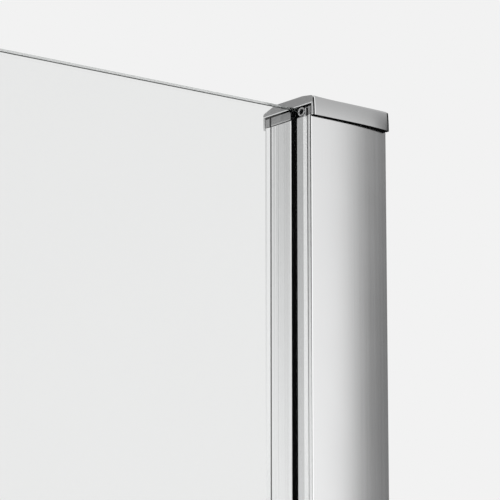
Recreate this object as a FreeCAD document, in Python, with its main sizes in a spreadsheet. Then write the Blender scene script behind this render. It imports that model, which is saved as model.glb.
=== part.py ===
import FreeCAD, Part
import math
import os
from types import SimpleNamespace

import Sketcher

doc = FreeCAD.newDocument("shower_enclosure")
sheet = doc.addObject("Spreadsheet::Sheet", "Sizes")

# Driving dimensions in millimetres. The first wall is the plane x = 0, the front glass lies in y = 0
# with the room on its -y side, and the floor is z = 0. "Reach" is measured from a wall along the glass.
driving = {
    "enclosure_width": 900,      # first wall to the outer face of the side pane
    "enclosure_depth": 900,      # outer face of the front glass to the second wall
    "channel_height": 1946.6,    # floor to the top of the wall channels
    "pane_drop": 0.75,           # pane tops below the channel tops
    "glass_thick": 6,
    "glass_arris": 0.4,          # ground edge of every pane

    "channel_reach": 40,         # wall to the open mouth of the wall channel
    "channel_front": 12.05,      # glass mid-plane to the front face at the mouth
    "channel_back": 19.7,        # glass mid-plane to the back face
    "face_sag": 1.85,            # how far the curved front face falls back at the wall
    "channel_web": 2.5,
    "front_wall": 2,
    "back_wall": 2.2,
    "back_lip": 3.2,
    "back_lip_reach": 5,
    "rib_reach": 24.5,           # wall to the guide ribs inside the channel
    "rib_width": 2.5,
    "edge_round": 0.7,
    "wall_hole_radius": 2.6,
    "wall_hole_end": 100,        # wall-screw holes, from either end
    "wall_hole_inner": 680,

    "hole_past": 1,              # how far a hole is carried past the faces it opens
    "slide_gap": 0.5,            # between the channel and the glass carrier at the mouth
    "carrier_depth": 18,
    "carrier_wall": 1.6,
    "carrier_drop": 5.1,         # carrier top below the channel top
    "bead_step": 1.3,
    "bead_reach": 4.5,
    "slot_depth": 16,
    "port_reach": 36.4,          # screw port in the front lip
    "port_offset": 6,
    "port_radius": 1.9,
    "panel_start": 5.9,          # sunk panel on the carrier's mouth face
    "panel_end": 11.3,
    "panel_sink": 0.4,
    "gasket_leg": 0.3,
    "gasket_base": 2,
    "gasket_inset": 0.4,

    "cap_plate": 3.4,
    "cap_skirt": 5.2,
    "cap_wall": 1.05,
    "cap_play": 0.15,
    "cap_sag": 1,                # how far the cap's front falls back at the wall
    "cap_front_slope": 6.5,      # sloped shoulders of the cap: width and drop
    "cap_front_drop": 1.15,
    "cap_back_slope": 7.5,
    "cap_back_drop": 2.4,
    "cap_round": 0.9,            # below the slopes
    "plug_start": 4.6,           # block under the cap that rests on the carrier
    "plug_end": 15.4,
    "plug_inset": 1,
    "plug_length": 8,
    "peg_radius": 1.75,
    "peg_length": 10,
    "boss_radius": 2.15,         # round end beside the slot, carried by the peg
    "boss_offset": 5.6,
    "boss_inset": 0.7,
    "boss_lift": 0.05,

    "lock_reach": 31,            # screws that lock the carrier in the channel
    "lock_end": 150,
    "lock_radius": 1.75,
    "lock_length": 9,
    "lock_head_radius": 3.5,
    "lock_head_height": 2.2,
    "lock_play": 0.1,
    "cover_radius": 5,
    "cover_wall": 1,

    "floor_half": 6,             # floor channels under the fixed panes
    "floor_wall": 2.4,
    "floor_base": 3,
    "floor_height": 18,
    "block_height": 6,           # setting blocks
    "block_length": 40,
    "block_inset": 50,
    "side_block_inset": 160,
    "sill_gap": 2,               # threshold end short of the fixed pane's edge
    "sill_front": 12,            # threshold under the door
    "sill_back": 18,
    "sill_height": 8,
    "sill_edge": 2,
    "sill_top_front": 5,
    "sill_top_back": 7,

    "fixed_reach": 290,          # wall to the free edge of the front fixed pane
    "hinge_gap": 10,             # fixed pane to door
    "latch_gap": 14,             # door edge to the outer face of the side pane
    "door_bottom": 16,
    "side_start": 13,            # front edge of the side pane, from the front glass mid-plane

    "hinge_inset": 250,          # hinge centres from the floor and from the pane tops
    "hinge_offset": 13,          # hinge axis to either leaf
    "leaf_length": 45,
    "leaf_tall": 90,
    "leaf_plate": 6,
    "leaf_bevel": 1.2,
    "leaf_pad": 0.8,
    "notch_depth": 38,           # notch in the glass behind each leaf
    "notch_tall": 58,
    "notch_round": 8,
    "heart_inset": 2,            # clamping block in the notch, clear of its sides
    "heart_end": 3,
    "heart_play": 0.2,
    "barrel_radius": 8,
    "barrel_tall": 56,
    "knuckle_tall": 23,
    "knuckle_gap": 0.5,
    "arm_half": 5,
    "pin_radius": 4,
    "bush_wall": 1.5,
    "pin_play": 0.06,
    "seat_play": 0.03,
    "leaf_screw_radius": 2.5,
    "leaf_screw_head": 4.5,
    "leaf_head_height": 3,
    "leaf_screw_reach": 33,      # hinge axis to the leaf screws
    "leaf_screw_spread": 16,
    "leaf_screw_bite": 4,
    "screw_play": 0.1,

    "handle_inset": 56,          # door edge to the handle
    "handle_height": 1000,
    "handle_span": 160,
    "handle_bar": 14,
    "handle_tall": 220,
    "handle_round": 2,
    "standoff_radius": 6,
    "standoff_length": 26,
    "washer_radius": 8,
    "washer_thick": 1,
    "bolt_radius": 3,
    "bolt_bite": 8,
    "glass_hole_radius": 6,
    "glass_bush_play": 0.5,

    "seal_wall": 1.2,            # soft strips that clip on the panes
    "seal_leg": 14,
    "seal_end": 4,               # strips stop short of the floor channel and the pane tops
    "bulb_radius": 4.3,
    "bulb_hole": 3.1,
    "bulb_bridge": 1.2,
    "drip_leg": 12,
    "drip_fin": 1.4,
    "drip_clear": 0.6,
    "drip_inset": 3,
    "latch_chamber": 14,
    "latch_clear": 0.4,
    "magnet_wide": 8,
    "magnet_thick": 2.6,

    "bar_size": 12,              # support bar above the door
    "bar_round": 1.5,
    "bar_offset": 26,
    "bar_below": 21.4,           # bar centre below the pane tops
    "bar_play": 0.1,
    "clamp_length": 32,
    "clamp_inset": 6,            # from the free edge of the fixed pane
    "clamp_tall": 34.4,
    "clamp_bridge": 3.6,
    "clamp_leg": 7,
    "clamp_cheek": 4,
    "clamp_slot_play": 0.2,
    "clamp_bevel": 1,
    "socket_depth": 20,
    "side_clamp_start": 1.5,
    "side_clamp_inner": 22,
    "grub_radius": 2.5,
    "grub_below": 16,
    "grub_sink": 0.6,
}

for row, (alias, value) in enumerate(driving.items(), start=1):
    sheet.set(f"A{row}", alias)
    sheet.set(f"B{row}", str(value))
    sheet.setAlias(f"B{row}", alias)
doc.recompute()


class Size:
    # A length that carries both its value and the sheet formula it comes from.
    def __init__(self, value, text):
        self.value = value
        self.text = text

    def __add__(self, other):
        other = size(other)
        return Size(self.value + other.value, f"({self.text} + {other.text})")

    def __sub__(self, other):
        other = size(other)
        return Size(self.value - other.value, f"({self.text} - {other.text})")

    def __mul__(self, other):
        other = size(other)
        return Size(self.value * other.value, f"({self.text} * {other.text})")

    def __truediv__(self, other):
        other = size(other)
        return Size(self.value / other.value, f"({self.text} / {other.text})")

    def __neg__(self):
        return Size(-self.value, f"(-{self.text})")

    def __rsub__(self, other):
        return size(other) - self

    __radd__ = __add__
    __rmul__ = __mul__


def size(number):
    return number if isinstance(number, Size) else Size(float(number), repr(number))


d = SimpleNamespace(**{alias: Size(float(value), f"Sizes.{alias}") for alias, value in driving.items()})
zero = size(0)
nodes = {}


def keep(label, thing):
    thing.Label = label
    nodes[label] = thing
    return thing


def bind(thing, prop, length):
    thing.setExpression(prop, length.text)


# Sketches, pads and edge breaks

def circle(x, y, radius):
    return SimpleNamespace(x=x, y=y, radius=radius)


def place_point(sketch, shape, point, x, y):
    for kind, length in (("DistanceX", x), ("DistanceY", y)):
        held = sketch.addConstraint(Sketcher.Constraint(kind, -1, 1, shape, point, length.value))
        bind(sketch, f"Constraints[{held}]", length)


def fix_radius(sketch, shape, radius):
    held = sketch.addConstraint(Sketcher.Constraint("Radius", shape, radius.value))
    bind(sketch, f"Constraints[{held}]", radius)


def arc_between(start, end, radius, turn):
    # Circular arc from start to end; turn is 1 with the centre on the left of the way, -1 on the right.
    half = (end - start) * 0.5
    rise = math.sqrt(radius * radius - half.Length * half.Length)
    left = FreeCAD.Vector(-half.y, half.x, 0).normalize()
    centre = start + half + left * (rise * turn)
    first, last = (start, end) if turn > 0 else (end, start)
    angles = [math.atan2(p.y - centre.y, p.x - centre.x) for p in (first, last)]
    return Part.ArcOfCircle(Part.Circle(centre, FreeCAD.Vector(0, 0, 1), radius), *angles)


def draw_loop(sketch, loop):
    # A loop is a circle or a list of corners (x, y), with (x, y, radius, turn) where an arc leaves a corner.
    if not isinstance(loop, list):
        middle = FreeCAD.Vector(loop.x.value, loop.y.value, 0)
        shape = sketch.addGeometry(Part.Circle(middle, FreeCAD.Vector(0, 0, 1), loop.radius.value))
        fix_radius(sketch, shape, loop.radius)
        place_point(sketch, shape, 3, loop.x, loop.y)
        return
    loop = [tuple(size(value) if i < 3 else value for i, value in enumerate(corner)) for corner in loop]
    points = [FreeCAD.Vector(corner[0].value, corner[1].value, 0) for corner in loop]
    sides = []
    for i, corner in enumerate(loop):
        start, end = points[i], points[(i + 1) % len(loop)]
        if len(corner) == 2:
            sides.append((sketch.addGeometry(Part.LineSegment(start, end)), 1, 2))
        else:
            shape = sketch.addGeometry(arc_between(start, end, corner[2].value, corner[3]))
            sides.append((shape, 1, 2) if corner[3] > 0 else (shape, 2, 1))
    for i, (shape, first, last) in enumerate(sides):
        after = sides[(i + 1) % len(sides)]
        sketch.addConstraint(Sketcher.Constraint("Coincident", shape, last, after[0], after[1]))
    for (shape, first, last), corner in zip(sides, loop):
        place_point(sketch, shape, first, corner[0], corner[1])
        if len(corner) > 2:
            fix_radius(sketch, shape, corner[2])


def attach(body, name, plane):
    sketch = body.newObject("Sketcher::SketchObject", name)
    support = next(f for f in body.Origin.OriginFeatures if f.Role == plane + "_Plane")
    sketch.AttachmentSupport = [(support, "")]
    sketch.MapMode = "FlatFace"
    return sketch


def extrude(name, plane, loops, start, length):
    # A section on a main plane, padded along the plane's normal: +z from XY, +x from YZ, -y from XZ.
    body = doc.addObject("PartDesign::Body", name)
    sketch = attach(body, name + "_section", plane)
    for loop in loops:
        draw_loop(sketch, loop)
    pad = body.newObject("PartDesign::Pad", name + "_pad")
    pad.Profile = sketch
    bind(pad, "Length", length)
    axis = {"XY": "z", "YZ": "x", "XZ": "y"}[plane]
    bind(body, f"Placement.Base.{axis}", start)
    return body


def break_edges(body, kind, length, chosen):
    # Fillet or chamfer on the edges of the last feature that the test picks.
    doc.recompute()
    base = body.Tip
    names = [f"Edge{i + 1}" for i, edge in enumerate(base.Shape.Edges) if chosen(edge)]
    dress = body.newObject("PartDesign::" + kind, f"{body.Name}_{kind.lower()}")
    dress.Base = (base, names)
    bind(dress, {"Fillet": "Radius", "Chamfer": "Size"}[kind], length)
    return body


def slope_edges(body, across, down, top, chosen):
    # Chamfer at the top of a body, with its own width on the level face and its own drop on the upright one.
    doc.recompute()
    base = body.Tip
    names = [f"Edge{i + 1}" for i, edge in enumerate(base.Shape.Edges) if chosen(edge)]
    slope = body.newObject("PartDesign::Chamfer", f"{body.Name}_slope")
    slope.Base = (base, names)
    slope.ChamferType = "Two distances"
    bind(slope, "Size", across)
    bind(slope, "Size2", down)
    doc.recompute()
    lower = flat_in("Z", top - down)
    slope.FlipDirection = not any(lower(edge) for edge in slope.Shape.Edges)


same_place = 1e-4  # two coordinates this close are the same


def close(a, b):
    return abs(a - b) < same_place


def along_pad_at(*corners):
    # Test for the straight edges that stand on the given section corners.
    spots = [(size(x).value, size(y).value) for x, y in corners]

    def chosen(edge):
        ends = [v.Point for v in edge.Vertexes]
        return len(ends) == 2 and any(
            all(close(p.x, x) and close(p.y, y) for p in ends) for x, y in spots
        )

    return chosen


def flat_in(axis, *levels):
    # Test for the edges that lie wholly at one of the given levels of an axis.
    heights = [size(level).value for level in levels]

    def chosen(edge):
        box = edge.BoundBox
        low, high = getattr(box, axis + "Min"), getattr(box, axis + "Max")
        return any(close(low, level) and close(high, level) for level in heights)

    return chosen


# Primitives and booleans

def ordered(a, b):
    a, b = size(a), size(b)
    return (a, b) if a.value <= b.value else (b, a)


def box(name, xs, ys, zs):
    thing = doc.addObject("Part::Box", name)
    for axis, prop, ends in (("x", "Length", xs), ("y", "Width", ys), ("z", "Height", zs)):
        low, high = ordered(*ends)
        bind(thing, prop, high - low)
        bind(thing, f"Placement.Base.{axis}", low)
    return thing


turned = {
    "x": FreeCAD.Rotation(FreeCAD.Vector(0, 1, 0), 90),
    "y": FreeCAD.Rotation(FreeCAD.Vector(1, 0, 0), -90),
    "z": FreeCAD.Rotation(),
}


def rod(name, axis, foot, length, radius):
    # A cylinder from its foot in the positive direction of the axis.
    thing = doc.addObject("Part::Cylinder", name)
    thing.Placement = FreeCAD.Placement(FreeCAD.Vector(), turned[axis])
    bind(thing, "Radius", radius)
    bind(thing, "Height", length)
    for letter, value in zip("xyz", foot):
        bind(thing, f"Placement.Base.{letter}", size(value))
    return thing


def fuse(name, things):
    thing = doc.addObject("Part::MultiFuse", name)
    thing.Shapes = things
    thing.Refine = True
    return thing


def cut(name, base, tools):
    thing = doc.addObject("Part::Cut", name)
    thing.Base = base
    thing.Tool = tools[0] if len(tools) == 1 else fuse(name + "_tools", tools)
    thing.Refine = True
    return thing


def group(label, things):
    thing = doc.addObject("Part::Compound", label)
    thing.Links = things
    return keep(label, thing)


# Positions worked out from the driving dimensions

half_glass = d.glass_thick / 2
pane_top = d.channel_height - d.pane_drop
side_plane = half_glass - d.enclosure_width
side_wall = d.enclosure_depth - half_glass
glass_foot = d.floor_base + d.block_height
slot_half = half_glass + d.gasket_leg
carrier_back_face = d.channel_back - d.back_lip - d.slide_gap
carrier_bead_face = d.front_wall + d.slide_gap - d.channel_front
carrier_front_face = carrier_bead_face + d.bead_step
carrier_start = d.channel_reach - d.carrier_depth
carrier_tall = d.channel_height - d.carrier_drop
pane_start = d.channel_reach - d.slot_depth + d.gasket_base
hinge_reach = d.fixed_reach + d.hinge_gap / 2
hinge_low = d.hinge_inset
hinge_high = pane_top - d.hinge_inset
door_start = d.fixed_reach + d.hinge_gap
door_end = d.enclosure_width - d.latch_gap
face_radius = (d.channel_reach * d.channel_reach + d.face_sag * d.face_sag) / (2 * d.face_sag)
cap_radius = (d.channel_reach * d.channel_reach + d.cap_sag * d.cap_sag) / (2 * d.cap_sag)


# Wall posts. A post is drawn with (reach from the wall, offset from the glass mid-plane, inside positive);
# place() turns that into (x, y), and turn is the sense of the front face's arc after it.

def front_place(reach, offset):
    return -size(reach), size(offset)


def side_place(reach, offset):
    return side_plane + offset, side_wall - reach


posts = {
    "front": SimpleNamespace(place=front_place, turn=-1, offset_axis="y", reach_axis="x"),
    "side": SimpleNamespace(place=side_place, turn=1, offset_axis="x", reach_axis="y"),
}


def post_rod(name, post, reach, offset, z, length, radius):
    # A cylinder across the post, from the given offset towards the inside.
    x, y = post.place(reach, offset)
    return rod(name, post.offset_axis, (x, y, z), length, radius)


def lock_heights():
    return d.lock_end, d.channel_height / 2, d.channel_height - d.lock_end


def wall_hole_heights():
    top = d.channel_height
    return d.wall_hole_end, d.wall_hole_inner, top - d.wall_hole_inner, top - d.wall_hole_end


def wall_channel(side, post):
    at = post.place
    front, back = -d.channel_front, d.channel_back
    rib_near = d.rib_reach + d.rib_width
    inner_front = front + d.front_wall
    inner_back = back - d.back_wall
    lip_face = back - d.back_lip
    lip_start = d.channel_reach - d.back_lip_reach
    section = [
        at(0, front + d.face_sag) + (face_radius, post.turn),
        at(d.channel_reach, front),
        at(d.channel_reach, inner_front),
        at(rib_near, inner_front + d.face_sag / 2),
        at(rib_near, carrier_front_face),
        at(d.rib_reach, carrier_front_face),
        at(d.rib_reach, inner_front + d.face_sag / 2),
        at(d.channel_web, inner_front + d.face_sag),
        at(d.channel_web, inner_back),
        at(d.rib_reach, inner_back),
        at(d.rib_reach, carrier_back_face),
        at(rib_near, carrier_back_face),
        at(rib_near, inner_back),
        at(lip_start, inner_back),
        at(lip_start, lip_face),
        at(d.channel_reach, lip_face),
        at(d.channel_reach, back),
        at(0, back),
    ]
    body = extrude(f"{side}_channel_bar", "XY", [section], zero, d.channel_height)
    mouth = [at(d.channel_reach, v) for v in (front, inner_front, lip_face, back)]
    break_edges(body, "Fillet", d.edge_round, along_pad_at(*mouth))
    holes = []
    for z in lock_heights():
        bore = d.lock_radius + d.lock_play
        start = inner_back - d.slide_gap
        run = back - start + d.hole_past
        holes.append(post_rod(f"{side}_lock_hole", post, d.lock_reach, start, z, run, bore))
    for z in wall_hole_heights():
        x, y = at(d.channel_web + d.hole_past, (back - d.channel_front) / 2)
        run = d.channel_web + 2 * d.hole_past
        holes.append(rod(f"{side}_wall_hole", post.reach_axis, (x, y, z), run, d.wall_hole_radius))
    keep(f"{side}_wall_channel", cut(f"{side}_wall_channel", body, holes))


def glass_carrier(side, post):
    at = post.place
    slot_end = d.channel_reach - d.slot_depth
    bead_start = d.channel_reach - d.bead_reach
    panel = d.channel_reach - d.panel_sink
    section = [
        at(carrier_start, carrier_front_face),
        at(bead_start, carrier_front_face),
        at(bead_start, carrier_bead_face),
        at(d.channel_reach, carrier_bead_face),
        at(d.channel_reach, -slot_half),
        at(slot_end, -slot_half),
        at(slot_end, slot_half),
        at(d.channel_reach, slot_half),
        at(d.channel_reach, d.panel_start),
        at(panel, d.panel_start),
        at(panel, d.panel_end),
        at(d.channel_reach, d.panel_end),
        at(d.channel_reach, carrier_back_face),
        at(carrier_start, carrier_back_face),
    ]
    port = circle(*at(d.port_reach, -d.port_offset), d.port_radius)
    chamber = [
        at(reach, offset)
        for reach, offset in (
            (carrier_start + d.carrier_wall, slot_half + d.carrier_wall),
            (panel - d.carrier_wall, slot_half + d.carrier_wall),
            (panel - d.carrier_wall, carrier_back_face - d.carrier_wall),
            (carrier_start + d.carrier_wall, carrier_back_face - d.carrier_wall),
        )
    ]
    body = extrude(f"{side}_carrier_bar", "XY", [section, port, chamber], zero, carrier_tall)
    bead = at(d.channel_reach, carrier_bead_face)
    break_edges(body, "Fillet", d.bead_step, along_pad_at(bead))
    holes = []
    for z in lock_heights():
        start = carrier_back_face - 2 * d.carrier_wall
        bore = d.lock_radius + d.lock_play
        holes.append(post_rod(f"{side}_carrier_hole", post, d.lock_reach, start, z, 3 * d.carrier_wall, bore))
    keep(f"{side}_glass_carrier", cut(f"{side}_glass_carrier", body, holes))


def glass_gasket(side, post):
    at = post.place
    slot_end = d.channel_reach - d.slot_depth
    mouth = d.channel_reach - d.gasket_inset
    section = [
        at(slot_end, -slot_half),
        at(mouth, -slot_half),
        at(mouth, -half_glass),
        at(pane_start, -half_glass),
        at(pane_start, half_glass),
        at(mouth, half_glass),
        at(mouth, slot_half),
        at(slot_end, slot_half),
    ]
    keep(f"{side}_glass_gasket", extrude(f"{side}_glass_gasket", "XY", [section], zero, pane_top))


def top_cap(side, post):
    at = post.place
    skirt = d.cap_play + d.cap_wall
    front, back = -d.channel_front, d.channel_back
    tall = d.cap_skirt + d.cap_plate
    foot = d.channel_height - d.cap_skirt
    past = d.cap_wall
    outline = [
        at(0, front + d.cap_sag - skirt) + (cap_radius, post.turn),
        at(d.channel_reach, front - skirt),
        at(d.channel_reach, back + skirt),
        at(0, back + skirt),
    ]
    hollow = [
        at(-past, front + d.face_sag - d.cap_play),
        at(0, front + d.face_sag - d.cap_play) + (face_radius + d.cap_play, post.turn),
        at(d.channel_reach, front - d.cap_play),
        at(d.channel_reach + past, front - d.cap_play),
        at(d.channel_reach + past, back + d.cap_play),
        at(-past, back + d.cap_play),
    ]
    name = f"{side}_cap_shell"
    body = extrude(name, "XY", [outline], foot, tall)
    doc.recompute()
    full = body.Shape.Volume
    recess = attach(body, name + "_recess", "XY")
    draw_loop(recess, hollow)
    pocket = body.newObject("PartDesign::Pocket", name + "_pocket")
    pocket.Profile = recess
    pocket.Reversed = True
    bind(pocket, "Length", d.cap_skirt)
    doc.recompute()
    if not body.Shape.Volume < full:
        raise RuntimeError("the recess under the cap cut nothing")
    level = flat_in("Z", tall)

    def shoulder(offset):
        # Test for the long top edge that runs from the wall to the mouth at the given offset.
        x, y = at(d.channel_reach, offset)

        def chosen(edge):
            ends = [v.Point for v in edge.Vertexes]
            long = close(abs(getattr(ends[0] - ends[1], post.reach_axis)), d.channel_reach.value)
            return level(edge) and long and any(close(p.x, x.value) and close(p.y, y.value) for p in ends)

        return chosen

    for offset, across, down in (
        (front - skirt, d.cap_front_slope, d.cap_front_drop),
        (back + skirt, d.cap_back_slope, d.cap_back_drop),
    ):
        slope_edges(body, across, down, tall, shoulder(offset))
    lower = flat_in("Z", tall - d.cap_front_drop, tall - d.cap_back_drop)
    break_edges(body, "Fillet", d.cap_round, lower)
    plug_face = d.channel_reach - d.plug_inset
    plug_xs, plug_ys = zip(at(plug_face, d.plug_start), at(plug_face - d.plug_length, d.plug_end))
    plug = box(f"{side}_cap_plug", plug_xs, plug_ys, (carrier_tall, d.channel_height))
    peg_x, peg_y = at(d.port_reach, -d.port_offset)
    peg_foot = (peg_x, peg_y, d.channel_height - d.peg_length)
    peg = rod(f"{side}_cap_peg", "z", peg_foot, d.peg_length, d.peg_radius)
    boss_end = d.channel_reach - d.boss_inset
    boss_x, boss_y = at(boss_end, -d.boss_offset)
    boss_foot = (boss_x, boss_y, carrier_tall + d.boss_radius + d.boss_lift)
    boss = rod(f"{side}_cap_boss", post.reach_axis, boss_foot, boss_end - d.port_reach, d.boss_radius)
    keep(f"{side}_top_cap", fuse(f"{side}_top_cap", [body, plug, peg, boss]))


def lock_screws(side, post):
    screws, covers = [], []
    face = d.channel_back
    for i, z in enumerate(lock_heights()):
        name = f"{side}_lock_{i}"
        tip = face - d.lock_length
        shank = post_rod(name + "_shank", post, d.lock_reach, tip, z, d.lock_length, d.lock_radius)
        head = post_rod(name + "_head", post, d.lock_reach, face, z, d.lock_head_height, d.lock_head_radius)
        screws.append(fuse(name + "_screw", [shank, head]))
        tall = d.lock_head_height + d.cover_wall
        dome = post_rod(name + "_dome", post, d.lock_reach, face, z, tall, d.cover_radius)
        room = d.lock_head_radius + d.lock_play
        well = post_rod(name + "_well", post, d.lock_reach, face, z, d.lock_head_height, room)
        covers.append(cut(name + "_cover", dome, [well]))
    group(f"{side}_lock_screws", screws)
    group(f"{side}_screw_covers", covers)


for side, post in posts.items():
    wall_channel(side, post)
    glass_carrier(side, post)
    glass_gasket(side, post)
    top_cap(side, post)
    lock_screws(side, post)


# Glass panes

def pane_with_notches(name, fixed_x, edge_x, foot, top, holes):
    # A pane whose edge at edge_x carries two hinge notches; fixed_x is the opposite edge.
    into = 1 if fixed_x.value > edge_x.value else -1
    bend = d.notch_round
    deep_x = edge_x + into * d.notch_depth
    near = deep_x - into * bend
    outline = [(fixed_x, foot), (edge_x, foot)]
    for centre_z in (hinge_low, hinge_high):
        low, high = centre_z - d.notch_tall / 2, centre_z + d.notch_tall / 2
        outline += [
            (edge_x, low),
            (near, low, bend, into),
            (deep_x, low + bend),
            (deep_x, high - bend, bend, into),
            (near, high),
            (edge_x, high),
        ]
    outline += [(edge_x, top), (fixed_x, top)]
    body = extrude(name, "XZ", [outline] + holes, half_glass, d.glass_thick)
    break_edges(body, "Chamfer", d.glass_arris, flat_in("Y", 0, -d.glass_thick))
    return keep(name, body)


def handle_spots():
    x = d.handle_inset - door_end
    return [(x, d.handle_height + sign * d.handle_span / 2) for sign in (-1, 1)]


pane_with_notches("front_fixed_pane", -pane_start, -d.fixed_reach, glass_foot, pane_top, [])
bolt_holes = [circle(x, z, d.glass_hole_radius) for x, z in handle_spots()]
pane_with_notches("door_pane", -door_end, -door_start, d.door_bottom, pane_top, bolt_holes)

side_end = side_wall - pane_start
side_outline = [
    (d.side_start, glass_foot),
    (side_end, glass_foot),
    (side_end, pane_top),
    (d.side_start, pane_top),
]
side_pane = extrude("side_pane", "YZ", [side_outline], side_plane - half_glass, d.glass_thick)
break_edges(side_pane, "Chamfer", d.glass_arris, flat_in("X", 0, d.glass_thick))
keep("side_pane", side_pane)


# Floor channels, setting blocks and the threshold under the door

def floor_section(middle):
    inner = d.floor_half - d.floor_wall
    return [
        (middle - d.floor_half, zero),
        (middle + d.floor_half, zero),
        (middle + d.floor_half, d.floor_height),
        (middle + inner, d.floor_height),
        (middle + inner, d.floor_base),
        (middle - inner, d.floor_base),
        (middle - inner, d.floor_height),
        (middle - d.floor_half, d.floor_height),
    ]


sill_start = d.fixed_reach - d.sill_gap
front_run = sill_start - d.channel_reach
front_rail = extrude("front_floor_channel", "YZ", [floor_section(zero)], -sill_start, front_run)
keep("front_floor_channel", front_rail)
side_run = side_wall - d.channel_reach + d.sill_front
side_run_end = side_wall - d.channel_reach
side_rail = extrude("side_floor_channel", "XZ", [floor_section(side_plane)], side_run_end, side_run)
keep("side_floor_channel", side_rail)

plug_width = d.floor_half - d.floor_wall
plug_ends = (-d.sill_front, d.side_start - d.knuckle_gap)
plug_sides = (side_plane - plug_width, side_plane + plug_width)
keep("side_floor_plug", box("side_floor_plug", plug_sides, plug_ends, (d.floor_base, d.floor_height)))

block_zs = (d.floor_base, glass_foot)
across = (-half_glass, half_glass)
front_blocks = []
for i, start in enumerate((d.channel_reach + d.block_inset, d.fixed_reach - d.block_inset - d.block_length)):
    front_blocks.append(box(f"front_block_{i}", (-start, -start - d.block_length), across, block_zs))
group("front_setting_blocks", front_blocks)
side_blocks = []
for i, start in enumerate((d.side_block_inset, side_end - d.side_block_inset - d.block_length)):
    sides = (side_plane - half_glass, side_plane + half_glass)
    side_blocks.append(box(f"side_block_{i}", sides, (start, start + d.block_length), block_zs))
group("side_setting_blocks", side_blocks)

sill_section = [
    (-d.sill_front, zero),
    (d.sill_back, zero),
    (d.sill_back, d.sill_edge),
    (d.sill_top_back, d.sill_height),
    (-d.sill_top_front, d.sill_height),
    (-d.sill_front, d.sill_edge),
]
sill_far = side_plane + d.floor_half
sill = extrude("door_threshold", "YZ", [sill_section], sill_far, -sill_start - sill_far)
keep("door_threshold", sill)


# Pivot hinges between the fixed pane and the door

plate_in = half_glass + d.leaf_pad
plate_out = plate_in + d.leaf_plate
heart_half = d.notch_tall / 2 - d.heart_end
hinge_x = -hinge_reach


def leaf_span(into, near, far):
    # x range of something on a leaf, measured from the hinge axis; into is 1 on the wall side.
    return ordered(hinge_x + into * near, hinge_x + into * far)


def bevelled_plate(name, xs, zs, y_low, y_high, outer):
    # A flat plate across y with its outer rim bevelled.
    outline = [(xs[0], zs[0]), (xs[1], zs[0]), (xs[1], zs[1]), (xs[0], zs[1])]
    body = extrude(name, "XZ", [outline], y_high, y_high - y_low)
    level = zero if outer > 0 else y_low - y_high
    return break_edges(body, "Chamfer", d.leaf_bevel, flat_in("Y", level))


def leaf_screw_spots(into, centre):
    x = hinge_x + into * d.leaf_screw_reach
    return [(x, centre + sign * d.leaf_screw_spread) for sign in (-1, 1)]


def hinge_leaf(name, into, centre, knuckles, bore):
    # One leaf: inner plate with heart, arms and knuckles in one casting, and a cover plate outside.
    xs = leaf_span(into, d.hinge_offset, d.hinge_offset + d.leaf_length)
    zs = (centre - d.leaf_tall / 2, centre + d.leaf_tall / 2)
    inner = bevelled_plate(name + "_plate", xs, zs, plate_in, plate_out, 1)
    notch_end = d.notch_depth + d.hinge_gap / 2 - d.heart_inset
    heart_xs = leaf_span(into, d.hinge_offset, notch_end)
    heart_ys = (d.heart_play - plate_in, plate_in)
    solids = [inner, box(name + "_heart", heart_xs, heart_ys, (centre - heart_half, centre + heart_half))]
    arm_xs = leaf_span(into, zero, d.hinge_offset)
    arm_ys = (-d.arm_half, d.arm_half)
    for i, (low, high) in enumerate(knuckles):
        zs_knuckle = (centre + low, centre + high)
        solids.append(box(f"{name}_arm_{i}", arm_xs, arm_ys, zs_knuckle))
        foot = (hinge_x, zero, centre + low)
        solids.append(rod(f"{name}_knuckle_{i}", "z", foot, high - low, d.barrel_radius))
    tools = [rod(name + "_bore", "z", (hinge_x, zero, centre - d.barrel_tall), d.barrel_tall * 2, bore)]
    blind = []
    for i, (x, z) in enumerate(leaf_screw_spots(into, centre)):
        well = (x, plate_out - d.leaf_head_height, z)
        head_room = d.leaf_screw_head + d.screw_play
        tools.append(rod(f"{name}_well_{i}", "y", well, d.leaf_head_height + d.hole_past, head_room))
        through = (x, -plate_out, z)
        bore_room = d.leaf_screw_radius + d.screw_play
        tools.append(rod(f"{name}_through_{i}", "y", through, plate_out * 2, bore_room))
        start = (x, -plate_in - d.leaf_screw_bite, z)
        bite = d.leaf_screw_bite + d.hole_past
        blind.append(rod(f"{name}_tap_{i}", "y", start, bite, bore_room))
    keep(name + "_body", cut(name + "_body", fuse(name + "_casting", solids), tools))
    cover = bevelled_plate(name + "_lid", xs, zs, -plate_out, -plate_in, -1)
    keep(name + "_cover", cut(name + "_cover", cover, blind))


def leaf_pads(name, into, centre):
    # Thin gaskets between the leaf plates and the glass, open over the notch.
    xs = leaf_span(into, d.hinge_offset, d.hinge_offset + d.leaf_length)
    zs = (centre - d.leaf_tall / 2, centre + d.leaf_tall / 2)
    open_xs = leaf_span(into, zero, d.notch_depth + d.hinge_gap / 2)
    open_zs = (centre - d.notch_tall / 2, centre + d.notch_tall / 2)
    pads = []
    for sign, tag in ((1, "in"), (-1, "out")):
        ys = (sign * half_glass, sign * plate_in)
        sheet_pad = box(f"{name}_pad_{tag}", xs, ys, zs)
        gap = box(f"{name}_pad_gap_{tag}", open_xs, ys, open_zs)
        pads.append(cut(f"{name}_pad_cut_{tag}", sheet_pad, [gap]))
    return pads


def leaf_screws(name, into, centre):
    screws = []
    for i, (x, z) in enumerate(leaf_screw_spots(into, centre)):
        tip = -plate_in - d.leaf_screw_bite
        seat = plate_out - d.leaf_head_height
        shank = rod(f"{name}_shank_{i}", "y", (x, tip, z), seat - tip, d.leaf_screw_radius)
        head = rod(f"{name}_head_{i}", "y", (x, seat, z), d.leaf_head_height, d.leaf_screw_head)
        screws.append(fuse(f"{name}_screw_{i}", [shank, head]))
    return screws


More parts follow.
